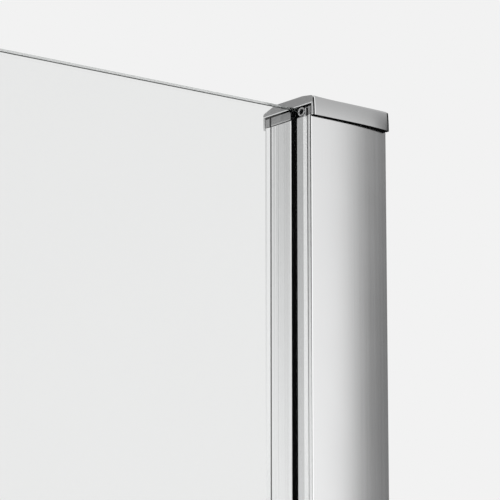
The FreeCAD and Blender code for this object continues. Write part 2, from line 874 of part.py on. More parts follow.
middle_half = d.knuckle_tall / 2
barrel_half = d.barrel_tall / 2
outer_knuckles = [(-barrel_half, -middle_half - d.knuckle_gap), (middle_half + d.knuckle_gap, barrel_half)]
middle_knuckle = [(-middle_half, middle_half)]
bush_radius = d.pin_radius + d.pin_play + d.bush_wall
fixed_pads, door_pads, fixed_screws, door_screws, bushes = [], [], [], [], []
for level, centre in (("lower", hinge_low), ("upper", hinge_high)):
    hinge_leaf(f"{level}_hinge_fixed", 1, centre, outer_knuckles, d.pin_radius + d.seat_play)
    hinge_leaf(f"{level}_hinge_door", -1, centre, middle_knuckle, bush_radius + d.seat_play)
    pin_foot = (hinge_x, zero, centre - barrel_half)
    keep(f"{level}_hinge_pin", rod(f"{level}_hinge_pin", "z", pin_foot, d.barrel_tall, d.pin_radius))
    bush_foot = (hinge_x, zero, centre - middle_half)
    sleeve = rod(f"{level}_sleeve", "z", bush_foot, d.knuckle_tall, bush_radius)
    eye = rod(f"{level}_eye", "z", bush_foot, d.knuckle_tall, d.pin_radius + d.pin_play)
    bushes.append(cut(f"{level}_bush", sleeve, [eye]))
    fixed_pads += leaf_pads(f"{level}_fixed", 1, centre)
    door_pads += leaf_pads(f"{level}_door", -1, centre)
    fixed_screws += leaf_screws(f"{level}_fixed", 1, centre)
    door_screws += leaf_screws(f"{level}_door", -1, centre)
group("hinge_fixed_pads", fixed_pads)
group("hinge_door_pads", door_pads)
group("hinge_fixed_screws", fixed_screws)
group("hinge_door_screws", door_screws)
group("hinge_bushes", bushes)


# Pull handles back to back on the door

def handle():
    x = d.handle_inset - door_end
    half_bar = d.handle_bar / 2
    post_foot = half_glass + d.washer_thick
    post_top = post_foot + d.standoff_length
    start = d.handle_height - d.handle_tall / 2
    for tag, sign in (("outer", -1), ("inner", 1)):
        y_near, y_far = sign * post_top, sign * (post_top + d.handle_bar)
        left, right = x - half_bar, x + half_bar
        section = [(left, y_near), (right, y_near), (right, y_far), (left, y_far)]
        bar = extrude(f"{tag}_handle_bar", "XY", [section], start, d.handle_tall)
        break_edges(bar, "Fillet", d.handle_round, lambda edge: True)
        keep(f"{tag}_handle_bar", bar)
    standoffs, bolts, washers, bushes_in_glass = [], [], [], []
    bore = d.bolt_radius + d.screw_play
    for i, (_, z) in enumerate(handle_spots()):
        for tag, low, high in (("outer", -post_top, -post_foot), ("inner", post_foot, post_top)):
            name = f"standoff_{tag}_{i}"
            column = rod(name + "_column", "y", (x, low, z), high - low, d.standoff_radius)
            near = -post_foot - d.bolt_bite if tag == "outer" else post_foot
            well_run = d.bolt_bite + 2 * d.hole_past
            well = rod(name + "_well", "y", (x, near - d.hole_past, z), well_run, bore)
            standoffs.append(cut(name, column, [well]))
            foot = (x, -post_foot if tag == "outer" else half_glass, z)
            disc = rod(name + "_disc", "y", foot, d.washer_thick, d.washer_radius)
            eye = rod(name + "_disc_eye", "y", foot, d.washer_thick, bore)
            washers.append(cut(name + "_washer", disc, [eye]))
        bolt_start = -post_foot - d.bolt_bite
        bolts.append(rod(f"handle_bolt_{i}", "y", (x, bolt_start, z), -2 * bolt_start, d.bolt_radius))
        tube_foot = (x, -half_glass, z)
        tube = rod(f"handle_tube_{i}", "y", tube_foot, d.glass_thick, d.glass_hole_radius - d.glass_bush_play)
        hole = rod(f"handle_tube_hole_{i}", "y", tube_foot, d.glass_thick, bore)
        bushes_in_glass.append(cut(f"handle_glass_bush_{i}", tube, [hole]))
    group("handle_standoffs", standoffs)
    group("handle_bolts", bolts)
    group("handle_washers", washers)
    group("handle_glass_bushes", bushes_in_glass)


handle()


# Soft strips on the door and the side pane

strip_foot = d.floor_height + d.seal_end
clip_foot = d.door_bottom + d.drip_leg + d.seal_end
strip_top = pane_top - d.seal_end
leg_out = half_glass + d.seal_wall


def hinge_seal():
    # Clip on the door's hinge edge with a hollow bulb about the hinge axis, in three lengths between leaves.
    edge = -door_start
    leg_end = edge - d.drip_leg
    lip = edge + d.bulb_bridge
    reach = hinge_x - lip
    meet = d.bulb_radius * d.bulb_radius - reach * reach
    meet_y = Size(math.sqrt(meet.value), f"sqrt({meet.text})")
    section = [
        (leg_end, -leg_out),
        (lip, -leg_out),
        (lip, -meet_y, d.bulb_radius, 1),
        (hinge_x + d.bulb_radius, zero, d.bulb_radius, 1),
        (lip, meet_y),
        (lip, leg_out),
        (leg_end, leg_out),
        (leg_end, half_glass),
        (edge, half_glass),
        (edge, -half_glass),
        (leg_end, -half_glass),
    ]
    hollow = circle(hinge_x, zero, d.bulb_hole)
    clear = d.leaf_tall / 2 + d.seal_end
    spans = (
        (clip_foot, hinge_low - clear),
        (hinge_low + clear, hinge_high - clear),
        (hinge_high + clear, strip_top),
    )
    lengths = []
    for i, (low, high) in enumerate(spans):
        lengths.append(extrude(f"hinge_seal_{i}", "XY", [section, hollow], low, high - low))
    group("hinge_side_seal", lengths)


def drip_seal():
    # Clip along the door's lower edge with a fin that drops towards the threshold.
    top = d.door_bottom + d.drip_leg
    base = d.door_bottom - d.seal_wall
    tip = d.sill_height + d.drip_clear
    fin_in = half_glass
    section = [
        (-leg_out, base),
        (fin_in - d.drip_fin, base),
        (fin_in - d.drip_fin, tip),
        (fin_in, tip),
        (fin_in, base),
        (leg_out, base),
        (leg_out, top),
        (half_glass, top),
        (half_glass, d.door_bottom),
        (-half_glass, d.door_bottom),
        (-half_glass, top),
        (-leg_out, top),
    ]
    start = d.drip_inset - door_end
    run = door_end - door_start - 2 * d.drip_inset
    keep("door_drip_seal", extrude("door_drip_seal", "YZ", [section], start, run))


def magnet_seals():
    # Magnet strips in soft chambers on the door's closing edge and on the front edge of the side pane.
    edge = -door_end
    wall = d.seal_wall
    base = edge - wall
    far = base - d.latch_chamber
    half = leg_out
    section = [
        (edge + d.seal_leg, -leg_out),
        (edge + d.seal_leg, -half_glass),
        (edge, -half_glass),
        (edge, half_glass),
        (edge + d.seal_leg, half_glass),
        (edge + d.seal_leg, leg_out),
        (far, leg_out),
        (far, -leg_out),
    ]
    room = [
        (base - wall, wall - half),
        (base - wall, half - wall),
        (far + wall, half - wall),
        (far + wall, wall - half),
    ]
    run = strip_top - clip_foot
    keep("door_magnet_seal", extrude("door_magnet_seal", "XY", [section, room], clip_foot, run))
    strip_xs = (far + wall, far + wall + d.magnet_wide)
    strip_ys = (half - wall - d.magnet_thick, half - wall)
    keep("door_magnet", box("door_magnet", strip_xs, strip_ys, (clip_foot, strip_top)))

    side_edge = d.side_start
    near = half + d.latch_clear
    side_top = pane_top - d.clamp_tall - d.seal_end
    side_base = side_edge - wall
    left, right = side_plane - leg_out, side_plane + leg_out
    side_section = [
        (left, near),
        (right, near),
        (right, side_edge + d.seal_leg),
        (side_plane + half_glass, side_edge + d.seal_leg),
        (side_plane + half_glass, side_edge),
        (side_plane - half_glass, side_edge),
        (side_plane - half_glass, side_edge + d.seal_leg),
        (left, side_edge + d.seal_leg),
    ]
    side_room = [
        (left + wall / 2, near + wall),
        (right - wall / 2, near + wall),
        (right - wall / 2, side_base),
        (left + wall / 2, side_base),
    ]
    side_run = side_top - strip_foot
    body = extrude("side_magnet_seal", "XY", [side_section, side_room], strip_foot, side_run)
    keep("side_magnet_seal", body)
    slim = d.magnet_wide / 2 - wall / 2
    side_xs = (side_plane - slim, side_plane + slim)
    side_ys = (near + wall, near + wall + d.magnet_thick)
    keep("side_magnet", box("side_magnet", side_xs, side_ys, (strip_foot, side_top)))


hinge_seal()
drip_seal()
magnet_seals()


# Support bar over the door, held by a saddle clamp on each fixed pane

bar_z = pane_top - d.bar_below
bar_low, bar_high = bar_z - d.bar_size / 2, bar_z + d.bar_size / 2
bar_ys = (d.bar_offset - d.bar_size / 2, d.bar_offset + d.bar_size / 2)
clamp_foot = pane_top - d.clamp_tall
clamp_top = pane_top + d.clamp_bridge
clamp_slot = half_glass + d.clamp_slot_play
clamp_back = bar_ys[1] + d.clamp_cheek


def saddle(low, high, middle):
    # Inverted U over a pane's top edge, from low to high across the pane.
    return [
        (low, clamp_foot),
        (middle - clamp_slot, clamp_foot),
        (middle - clamp_slot, pane_top),
        (middle + clamp_slot, pane_top),
        (middle + clamp_slot, clamp_foot),
        (high, clamp_foot),
        (high, clamp_top),
        (low, clamp_top),
    ]


def support_bar():
    grip = d.grub_radius + d.screw_play
    grub_z = pane_top - d.grub_below
    loose = (bar_low - d.bar_play, bar_high + d.bar_play)
    loose_ys = (bar_ys[0] - d.bar_play, bar_ys[1] + d.bar_play)
    outer = -clamp_slot - d.clamp_leg

    front_far = d.clamp_inset - d.fixed_reach
    front_end = front_far + d.clamp_length
    front = extrude("front_clamp_block", "YZ", [saddle(outer, clamp_back, zero)], front_far, d.clamp_length)
    break_edges(front, "Chamfer", d.clamp_bevel, flat_in("Z", clamp_top))
    socket = box("front_clamp_socket", (front_far - d.hole_past, front_far + d.socket_depth), loose_ys, loose)
    grub_x = front_far + d.clamp_length / 2
    grub_run = d.clamp_leg + 2 * d.hole_past
    hole = rod("front_grub_hole", "y", (grub_x, outer - d.hole_past, grub_z), grub_run, grip)
    keep("front_bar_clamp", cut("front_bar_clamp", front, [socket, hole]))
    grub_length = d.clamp_leg + d.clamp_slot_play - d.grub_sink
    front_grub = rod("front_grub", "y", (grub_x, outer + d.grub_sink, grub_z), grub_length, d.grub_radius)

    side_high = side_plane + clamp_slot + d.side_clamp_inner
    side_ys = (d.side_start + d.side_clamp_start, bar_ys[1] + d.clamp_cheek)
    side_loop = saddle(side_plane + outer, side_high, side_plane)
    side_block = extrude("side_clamp_block", "XZ", [side_loop], side_ys[1], side_ys[1] - side_ys[0])
    break_edges(side_block, "Chamfer", d.clamp_bevel, flat_in("Z", clamp_top))
    socket_end = side_high - d.side_clamp_inner + d.clamp_cheek
    pocket = box("side_clamp_socket", (socket_end, side_high + d.hole_past), loose_ys, loose)
    side_grub_y = d.bar_offset
    foot = (side_plane + outer - d.hole_past, side_grub_y, grub_z)
    side_hole = rod("side_grub_hole", "x", foot, grub_run, grip)
    keep("side_bar_clamp", cut("side_bar_clamp", side_block, [pocket, side_hole]))
    start = (side_plane + outer + d.grub_sink, side_grub_y, grub_z)
    side_grub = rod("side_grub", "x", start, grub_length, d.grub_radius)
    group("bar_clamp_screws", [front_grub, side_grub])

    section = [(bar_ys[0], bar_low), (bar_ys[1], bar_low), (bar_ys[1], bar_high), (bar_ys[0], bar_high)]
    bar_end = front_far + d.socket_depth
    bar = extrude("support_bar", "YZ", [section], socket_end, bar_end - socket_end)
    break_edges(bar, "Fillet", d.bar_round, lambda edge: edge.BoundBox.XLength > d.bar_size.value)
    keep("support_bar", bar)


support_bar()


# Every object is sound before any file is written

doc.recompute()
for thing in doc.Objects:
    if {"Invalid", "Error"} & set(thing.State):
        raise RuntimeError(f"{thing.Label} failed: {thing.State}")
for label, thing in nodes.items():
    if thing.Shape.isNull() or not thing.Shape.isValid() or not thing.Shape.Solids:
        raise RuntimeError(f"{label} has no valid shape")

os.makedirs("parts", exist_ok=True)
for label, thing in nodes.items():
    thing.Shape.exportStep(f"parts/{label}.step")
    extent = thing.Shape.optimalBoundingBox()
    print(f"{label}: {len(thing.Shape.Solids)} solid(s), {thing.Shape.Volume / 1000:.2f} cm3, "
          f"x {extent.XMin:.1f} to {extent.XMax:.1f}, y {extent.YMin:.1f} to {extent.YMax:.1f}, "
          f"z {extent.ZMin:.1f} to {extent.ZMax:.1f}")
print(len(nodes), "nodes")
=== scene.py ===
import math

import bpy
import numpy as np
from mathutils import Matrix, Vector
from mathutils.geometry import tessellate_polygon


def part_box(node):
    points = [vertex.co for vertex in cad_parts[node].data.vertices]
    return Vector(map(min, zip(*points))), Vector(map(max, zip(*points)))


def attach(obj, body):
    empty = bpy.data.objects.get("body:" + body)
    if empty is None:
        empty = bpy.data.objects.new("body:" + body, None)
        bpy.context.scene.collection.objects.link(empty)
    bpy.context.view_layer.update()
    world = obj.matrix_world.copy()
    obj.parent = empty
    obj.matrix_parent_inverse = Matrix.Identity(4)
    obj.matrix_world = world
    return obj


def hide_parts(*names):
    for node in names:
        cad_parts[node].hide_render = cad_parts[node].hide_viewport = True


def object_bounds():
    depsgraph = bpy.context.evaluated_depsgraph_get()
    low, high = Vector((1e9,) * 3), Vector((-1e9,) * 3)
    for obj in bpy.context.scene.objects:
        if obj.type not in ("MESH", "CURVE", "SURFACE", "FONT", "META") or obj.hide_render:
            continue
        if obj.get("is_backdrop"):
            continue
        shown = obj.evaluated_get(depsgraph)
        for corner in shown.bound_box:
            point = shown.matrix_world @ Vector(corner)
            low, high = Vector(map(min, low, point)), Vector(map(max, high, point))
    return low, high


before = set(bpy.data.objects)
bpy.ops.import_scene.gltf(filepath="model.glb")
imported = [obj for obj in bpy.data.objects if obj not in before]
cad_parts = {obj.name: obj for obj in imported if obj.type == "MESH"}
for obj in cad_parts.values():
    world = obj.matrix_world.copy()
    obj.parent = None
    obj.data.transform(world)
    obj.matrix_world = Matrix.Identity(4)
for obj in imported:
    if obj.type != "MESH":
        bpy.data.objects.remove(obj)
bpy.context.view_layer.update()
mm = 0.001
print("frame loaded:", len(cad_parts), "CAD nodes")


def nodeBox(name):
    # lowest and highest corner of a CAD node, in millimetres
    return [np.array(corner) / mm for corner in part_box(name)]


# Shader sums

class Wire:
    # a socket that takes part in sums: each sum is a Math node, and plain numbers stay on its own sockets
    def __init__(self, tree, socket):
        self.tree = tree
        self.socket = socket

    def node(self, kind, settings, sockets, output=0):
        # any node: its settings first, then the values or links of its sockets
        made = self.tree.nodes.new(kind)
        for key, value in settings.items():
            setattr(made, key, value)
        for key, value in sockets.items():
            if isinstance(value, Wire):
                self.tree.links.new(value.socket, made.inputs[key])
            else:
                made.inputs[key].default_value = value
        return Wire(self.tree, made.outputs[output])

    def sum(self, operation, first, second):
        return self.node("ShaderNodeMath", {"operation": operation}, {0: first, 1: second})

    def __add__(self, other):
        return self.sum("ADD", self, other)

    def __sub__(self, other):
        return self.sum("SUBTRACT", self, other)

    def __rsub__(self, other):
        return self.sum("SUBTRACT", other, self)

    def __mul__(self, other):
        return self.sum("MULTIPLY", self, other)

    def __truediv__(self, other):
        return self.sum("DIVIDE", self, other)

    def __pow__(self, other):
        return self.sum("POWER", self, other)

    __radd__ = __add__
    __rmul__ = __mul__

    def between(self, low, high, first=0.0, last=1.0):
        # soft step: first below low, last above high
        return self.node(
            "ShaderNodeMapRange", {"interpolation_type": "SMOOTHSTEP"},
            {"Value": self, "From Min": low, "From Max": high, "To Min": first, "To Max": last},
        )


def startFinish(name, constants):
    # a new material, its Object coordinates and its shader with the constant values set
    material = bpy.data.materials.new(name)
    material.use_nodes = True
    tree = material.node_tree
    shader = tree.nodes["Principled BSDF"]
    for key, value in constants.items():
        shader.inputs[key].default_value = value
    place = tree.nodes.new("ShaderNodeTexCoord")
    return material, Wire(tree, place.outputs["Object"]), shader


def feed(shader, links):
    for key, wire in links.items():
        wire.tree.links.new(wire.socket, shader.inputs[key])


def speckle(place, scale, stretch=(1, 1, 1), detail=3.0):
    # noise from 0 to 1 in metres of the object; stretch below 1 draws it out along an axis
    drawn = place.node("ShaderNodeMapping", {}, {"Vector": place, "Scale": stretch})
    return place.node("ShaderNodeTexNoise", {}, {"Vector": drawn, "Scale": scale, "Detail": detail})


def colourMix(factor, first, second):
    return factor.node("ShaderNodeMix", {"data_type": "RGBA"}, {0: factor, 6: first, 7: second}, 2)


def bump(height, strength, distance=0.0001):
    return height.node("ShaderNodeBump", {}, {"Strength": strength, "Distance": distance, "Height": height})


def grey(tone, cool=0.0):
    return (tone * (1 - cool), tone, tone * (1 + cool), 1)


def tonePair(look):
    # the darker and the lighter grey of a finish
    tones = (look["tone"] + way * look["toneSpread"] for way in (-1, 1))
    return [grey(tone, look.get("cool", 0.0)) for tone in tones]


def tintMix(factor, tint, share):
    # from a tint to the same tint times a share
    return colourMix(factor, tint, tuple(share * c for c in tint[:3]) + (1,))


# Finishes

aluminiumLook = {
    "tone": 0.9, "toneSpread": 0.03, "cool": 0.003, "rough": 0.15, "lineRough": 0.05, "smudgeRough": 0.05,
    "lines": 1500, "lineRun": 0.004, "lineBump": 0.02, "smudge": 30,
}
# the lips: the same aluminium painted darker for the shade on them
shadedLipLook = {**aluminiumLook, "tone": 0.72}
# inside the hollows: the same aluminium painted near black, a painted shade
hollowShadeLook = {
    **aluminiumLook, "tone": 0.05, "toneSpread": 0.02, "rough": 0.6, "lineRough": 0.1, "smudgeRough": 0.1,
    "lines": 900, "lineBump": 0.05,
}


def extrudedMetal(name, look, run):
    # polished or plain extrusion: die lines drawn out along the run of the profile, smudges in the gloss
    material, place, shader = startFinish(name, {"Metallic": 1.0})
    stretch = tuple(look["lineRun"] if axis == run else 1.0 for axis in "xyz")
    lines = speckle(place, look["lines"], stretch)
    smudge = speckle(place, look["smudge"], detail=4)
    feed(shader, {
        "Base Color": colourMix(lines, *tonePair(look)),
        "Roughness": look["rough"] + look["lineRough"] * (lines - 0.5) + look["smudgeRough"] * (smudge - 0.5),
        "Normal": bump(lines, look["lineBump"]),
    })
    return material


platedLook = {"toneSpread": 0.02, "cool": 0.004, "haze": 45, "hazeRough": 0.06, "peelDeep": 0.0002}
chromeLook = {**platedLook, "tone": 0.68, "rough": 0.1, "peel": 350, "peelBump": 0.02}
satinLook = {**platedLook, "tone": 0.345, "rough": 0.34, "peel": 1800, "peelBump": 0.05}
castLook = {**platedLook, "tone": 0.345, "rough": 0.4, "peel": 1500, "peelBump": 0.08, "hazeRough": 0.08}
steelLook = {**platedLook, "tone": 0.46, "rough": 0.26, "peel": 900, "peelBump": 0.04, "hazeRough": 0.1}


def platedMetal(name, look):
    # plated casting: faint orange peel under the plate, haze where it is handled
    material, place, shader = startFinish(name, {"Metallic": 1.0})
    peel = speckle(place, look["peel"], detail=2)
    haze = speckle(place, look["haze"], detail=5)
    feed(shader, {
        "Base Color": colourMix(haze, *tonePair(look)),
        "Roughness": look["rough"] + look["hazeRough"] * (haze - 0.5),
        "Normal": bump(peel, look["peelBump"], look["peelDeep"]),
    })
    return material


mouldedLook = {"toneSpread": 0.02, "cloud": 60, "grainRough": 0.12}
plasticLook = {**mouldedLook, "tone": 0.36, "rough": 0.48, "grain": 2200, "bump": 0.12, "specular": 0.4}
rubberLook = {
    **mouldedLook, "tone": 0.004, "toneSpread": 0.002, "rough": 0.7, "grain": 2600, "bump": 0.15,
    "specular": 0.0,
}
magnetLook = {
    **mouldedLook, "tone": 0.04, "toneSpread": 0.015, "rough": 0.6, "grain": 1800, "bump": 0.1,
    "specular": 0.3,
}


def mouldedFinish(name, look):
    # moulded rubber or plastic: clouds in tone, fine grain in gloss and bump
    material, place, shader = startFinish(name, {"Specular IOR Level": look["specular"]})
    grain = speckle(place, look["grain"], detail=4)
    cloud = speckle(place, look["cloud"])
    feed(shader, {
        "Base Color": colourMix(cloud, *tonePair(look)),
        "Roughness": look["rough"] + look["grainRough"] * (grain - 0.5),
        "Normal": bump(grain, look["bump"]),
    })
    return material


glassLook = {
    "tint": (0.912, 0.918, 0.915, 1), "haze": 14, "hazeBand": (0.3, 0.7), "hazeTone": 0.996,
    "specular": 0.02, "ior": 1.5,
}


def clearSheet(name, look):
    # float glass: almost no tint, and a trace of water haze
    material, place, shader = startFinish(name, {
        "Transmission Weight": 1.0, "IOR": look["ior"], "Specular IOR Level": look["specular"],
        "Roughness": 0.0,
    })
    haze = speckle(place, look["haze"], detail=4).between(*look["hazeBand"])
    feed(shader, {"Base Color": tintMix(haze, look["tint"], look["hazeTone"])})
    return material


edgeLook = {
    "tint": (0.3, 0.33, 0.32, 1), "clear": 0.62, "rough": 0.2, "grit": 2400, "gritRough": 0.2, "bump": 0.08,
    "specular": 0.4, "chips": 500, "chipBand": (0.55, 0.75), "chipTone": 1.4,
}
# the far arris: painted near black and opaque for the dark line along the glass edge, a painted shade
shadedArrisLook = {
    **edgeLook, "tint": (0.05, 0.056, 0.054, 1), "clear": 0.0, "rough": 0.55, "bump": 0.2, "specular": 0.3,
}


def groundGlass(name, look):
    # ground glass edge: grey-green and gritty, with lighter chips; clear is how far it is polished again
    material, place, shader = startFinish(name, {
        "Specular IOR Level": look["specular"], "Transmission Weight": look["clear"], "IOR": glassLook["ior"],
    })
    grit = speckle(place, look["grit"], detail=4)
    chips = speckle(place, look["chips"], detail=2).between(*look["chipBand"])
    feed(shader, {
        "Base Color": tintMix(chips, look["tint"], look["chipTone"]),
        "Roughness": look["rough"] + look["gritRough"] * (grit - 0.5),
        "Normal": bump(grit, look["bump"]),
    })
    return material


vinylLook = {
    "tint": (0.93, 0.94, 0.945, 1), "clear": 0.85, "rough": 0.22, "lines": 700, "lineRun": 0.01,
    "lineTone": 0.96, "lineRough": 0.1, "bump": 0.05, "specular": 0.35, "ior": 1.45,
}


def softStrip(name, look):
    # soft clear strip: slightly milky, with draw lines
    material, place, shader = startFinish(name, {
        "Transmission Weight": look["clear"], "IOR": look["ior"], "Specular IOR Level": look["specular"],
    })
    lines = speckle(place, look["lines"], (1, 1, look["lineRun"]))
    feed(shader, {
        "Base Color": tintMix(lines, look["tint"], look["lineTone"]),
        "Roughness": look["rough"] + look["lineRough"] * (lines - 0.5),
        "Normal": bump(lines, look["bump"]),
    })
    return material


finishMakers = {
    "uprightAluminium": (extrudedMetal, aluminiumLook, "z"),
    "crossAluminium": (extrudedMetal, aluminiumLook, "x"),
    "deepAluminium": (extrudedMetal, aluminiumLook, "y"),
    "shadedLipAluminium": (extrudedMetal, shadedLipLook, "z"),
    "hollowShadeAluminium": (extrudedMetal, hollowShadeLook, "z"),
    "chrome": (platedMetal, chromeLook),
    "satinChrome": (platedMetal, satinLook),
    "castZinc": (platedMetal, castLook),
    "steel": (platedMetal, steelLook),
    "rubber": (mouldedFinish, rubberLook),
    "magnet": (mouldedFinish, magnetLook),
    "plastic": (mouldedFinish, plasticLook),
    "clearGlass": (clearSheet, glassLook),
    "glassEdge": (groundGlass, edgeLook),
    "shadedGlassArris": (groundGlass, shadedArrisLook),
    "clearVinyl": (softStrip, vinylLook),
}
finishes = {name: make(name, *given) for name, (make, *given) in finishMakers.items()}
print("finishes:", ", ".join(finishes))


# Surfaces, in millimetres until they become a mesh

runs = {
    "x": [(0, 1, 0), (0, 0, 1), (1, 0, 0)],
    "y": [(1, 0, 0), (0, 0, 1), (0, 1, 0)],
    "z": [(1, 0, 0), (0, 1, 0), (0, 0, 1)],
}


def unit(vectors):
    length = np.linalg.norm(vectors, axis=-1, keepdims=True)
    return vectors / np.maximum(length, 1e-12)


def roundCorners(corners, radii, steps=7, hold=0.05):
    # each corner becomes an arc that touches both its sides, with a short flat bit held at either end
    p = np.asarray(corners, float)
    r = np.broadcast_to(np.asarray(radii, float), len(p))[:, None]
    before = unit(np.roll(p, 1, 0) - p)
    after = unit(np.roll(p, -1, 0) - p)
    half = np.arccos(np.clip((before * after).sum(1, keepdims=True), -1, 1)) / 2
    reach = r / np.tan(np.maximum(half, 1e-6))
    centre = p + unit(before + after) * r / np.sin(np.maximum(half, 1e-6))
    turn = np.maximum(np.pi - 2 * half, 1e-9)[:, None]
    s = np.linspace(0, 1, steps + 1)[None, :, None]
    first = (p + before * reach - centre)[:, None]
    last = (p + after * reach - centre)[:, None]
    arc = centre[:, None] + (np.sin((1 - s) * turn) * first + np.sin(s * turn) * last) / np.sin(turn)
    arc = np.where(r[:, None] > 0, arc, p[:, None])
    held = np.where(r > 0, hold, 0)
    lead = (p + before * (reach + held))[:, None]
    tail = (p + after * (reach + held))[:, None]
    ring = np.concatenate([lead, arc, tail], 1).reshape(-1, 2)
    return ring[np.linalg.norm(ring - np.roll(ring, 1, 0), axis=1) > 1e-6]


def rectangle(low, high, radii, steps=7):
    # rounded rectangle between two opposite corners
    (left, foot), (right, top) = low, high
    return roundCorners([(left, foot), (right, foot), (right, top), (left, top)], radii, steps)


def circleRing(x, y, radius, count=48):
    a = np.arange(count) * 2 * np.pi / count
    return np.c_[x + radius * np.cos(a), y + radius * np.sin(a)]


def signedArea(ring):
    after = np.roll(ring, -1, 0)
    return (ring[:, 0] * after[:, 1] - after[:, 0] * ring[:, 1]).sum() / 2


def leftward(ring):
    # the ring with its material on the left of the way round
    return ring if signedArea(ring) > 0 else ring[::-1]


def inwards(ring, limit=0.2):
    # at each point, the step that moves both neighbouring sides one unit into the material on their left;
    # the limit holds it back at very sharp points
    side = unit(np.roll(ring, -1, 0) - ring)
    normal = np.c_[-side[:, 1], side[:, 0]]
    both = normal + np.roll(normal, 1, 0)
    return both / np.maximum(1 + (normal * np.roll(normal, 1, 0)).sum(1, keepdims=True), limit)


def fillRings(rings):
    # triangles between an outline and its holes, all turned the same way
    middle = rings[0].mean(0)
    loops = [np.c_[ring - middle, np.zeros(len(ring))].tolist() for ring in rings]
    found = np.array(tessellate_polygon(loops)).reshape(-1, 3)
    points = np.concatenate(rings)
    a, b, c = (points[found[:, i]] for i in range(3))
    area = (b[:, 0] - a[:, 0]) * (c[:, 1] - a[:, 1]) - (b[:, 1] - a[:, 1]) * (c[:, 0] - a[:, 0])
    return np.where(area[:, None] < 0, found[:, ::-1], found)


def gridFaces(rows, columns, start=0, wrap=False):
    # quads of a grid that closes on itself along its columns, and along its rows too if it wraps
    i, j = np.meshgrid(np.arange(rows if wrap else rows - 1), np.arange(columns), indexing="ij")
    k, below = (j + 1) % columns, (i + 1) % rows
    quads = np.stack([i * columns + j, i * columns + k, below * columns + k, below * columns + j], -1)
    return quads.reshape(-1, 4) + start


def outward(points, faces, finish):
    # turns a closed skin round if its volume comes out negative
    corners = np.array([(f[0], f[i], f[i + 1]) for f in faces for i in range(1, len(f) - 1)])
    a, b, c = (points[corners[:, i]] for i in range(3))
    if (np.cross(a, b) * c).sum() < 0:
        faces = [f[::-1] for f in faces]
    return points, faces, finish


def prism(outlines, levels, axes=runs["z"], origin=(0, 0, 0), sides=0, ends=0, bores=None, boreInset=1.0):
    # a section with its holes carried along the third axis; each level is (height, inset), and an inset draws
    # the outlines into the material, which rounds the rims; sides may differ by level or by outline point
    rings = [leftward(outlines[0])] + [leftward(ring)[::-1] for ring in outlines[1:]]
    levels = np.asarray(levels, float)
    points, faces, finish, starts, start = [], [], [], [], 0
    drawn = [levels[:, 1, None, None] * (boreInset if i else 1.0) for i in range(len(rings))]
    flats = [ring[None] + step * inwards(ring)[None] for ring, step in zip(rings, drawn)]
    for i, flat in enumerate(flats):
        high = np.broadcast_to(levels[:, 0, None, None], flat.shape[:2] + (1,))
        points.append((np.concatenate([flat, high], -1) @ np.asarray(axes, float)).reshape(-1, 3))
        faces += gridFaces(len(levels), flat.shape[1], start).tolist()
        look = bores if i and bores is not None else sides
        finish += np.broadcast_to(look, (len(levels) - 1, flat.shape[1])).ravel().tolist()
        starts.append(start)
        start += flat.shape[0] * flat.shape[1]
    filled = [np.arange(len(rings[0]))] if len(rings) == 1 else fillRings(rings)
    for level, turn in ((0, -1), (len(levels) - 1, 1)):
        where = [s + level * flat.shape[1] + np.arange(flat.shape[1]) for s, flat in zip(starts, flats)]
        where = np.concatenate(where)
        faces += [where[face][::turn].tolist() for face in filled]
        finish += [ends] * len(filled)
    return outward(np.concatenate(points) + np.asarray(origin, float), faces, finish)


def loft(rings, finish=0, wrap=False):
    # rings (rows, columns, 3) joined to a closed skin, with a flat face at either end or wrapped round
    rows, columns = rings.shape[:2]
    faces = gridFaces(rows, columns, 0, wrap).tolist()
    bands = np.broadcast_to(finish, len(faces) // columns)
    looks = np.repeat(bands, columns).tolist()
    if not wrap:
        faces += [list(range(columns))[::-1], list(range((rows - 1) * columns, rows * columns))]
        looks += [int(bands[0]), int(bands[-1])]
    return outward(rings.reshape(-1, 3), faces, looks)


def turned(profile, foot, along, count=40, finish=0, wrap=False):
    # profile rows (distance from the axis, height, share of a hexagon) spun about an axis that starts at foot
    rows = np.array([tuple(row) + (0,) * (3 - len(row)) for row in profile], float)
    along = np.asarray(along, float)
    across = np.roll(along, 1)
    a = np.arange(count) * 2 * np.pi / count
    hexagon = math.cos(math.pi / 6) / np.cos(a % (math.pi / 3) - math.pi / 6)
    distance = rows[:, :1] * (1 + rows[:, 2:] * (hexagon - 1))
    spoke = np.cos(a)[:, None] * across + np.sin(a)[:, None] * np.cross(along, across)
    rings = distance[..., None] * spoke[None] + rows[:, 1, None, None] * along
    return loft(rings + np.asarray(foot, float), finish, wrap)


def rimLevels(low, high, radius, steps=4, hold=0.05):
    # levels of a prism whose two rims are rounded by a quarter circle
    a = np.linspace(0, np.pi / 2, steps + 1)
    rim = np.r_[np.c_[radius * (1 - np.cos(a)), radius * (1 - np.sin(a))], [(radius + hold, 0)]]
    return np.r_[rim + (low, 0), (rim * (-1, 1) + (high, 0))[::-1]]


def block(low, high, edge, along="z", extra=0.1):
    # a box with all its edges rounded: a rectangle, its corners rounder by extra, carried along one axis
    run = "xyz".index(along)
    a, b = (i for i in range(3) if i != run)
    ring = rectangle((low[a], low[b]), (high[a], high[b]), edge + extra, 5)
    return prism([ring], rimLevels(low[run], high[run], edge), runs[along])


def joined(parts):
    # several closed skins as one list of points, faces and finishes
    points, faces, finish, start = [], [], [], 0
    for partPoints, partFaces, partFinish in parts:
        points.append(partPoints)
        faces += [[i + start for i in f] for f in partFaces]
        finish += partFinish
        start += len(partPoints)
    return np.concatenate(points), faces, finish


def skinMesh(name, parts):
    # a mesh in metres of several closed skins, and the finish of each face
    points, faces, finish = joined(parts)
    mesh = bpy.data.meshes.new(name)
    mesh.from_pydata((points * mm).tolist(), [], faces)
    return mesh, finish


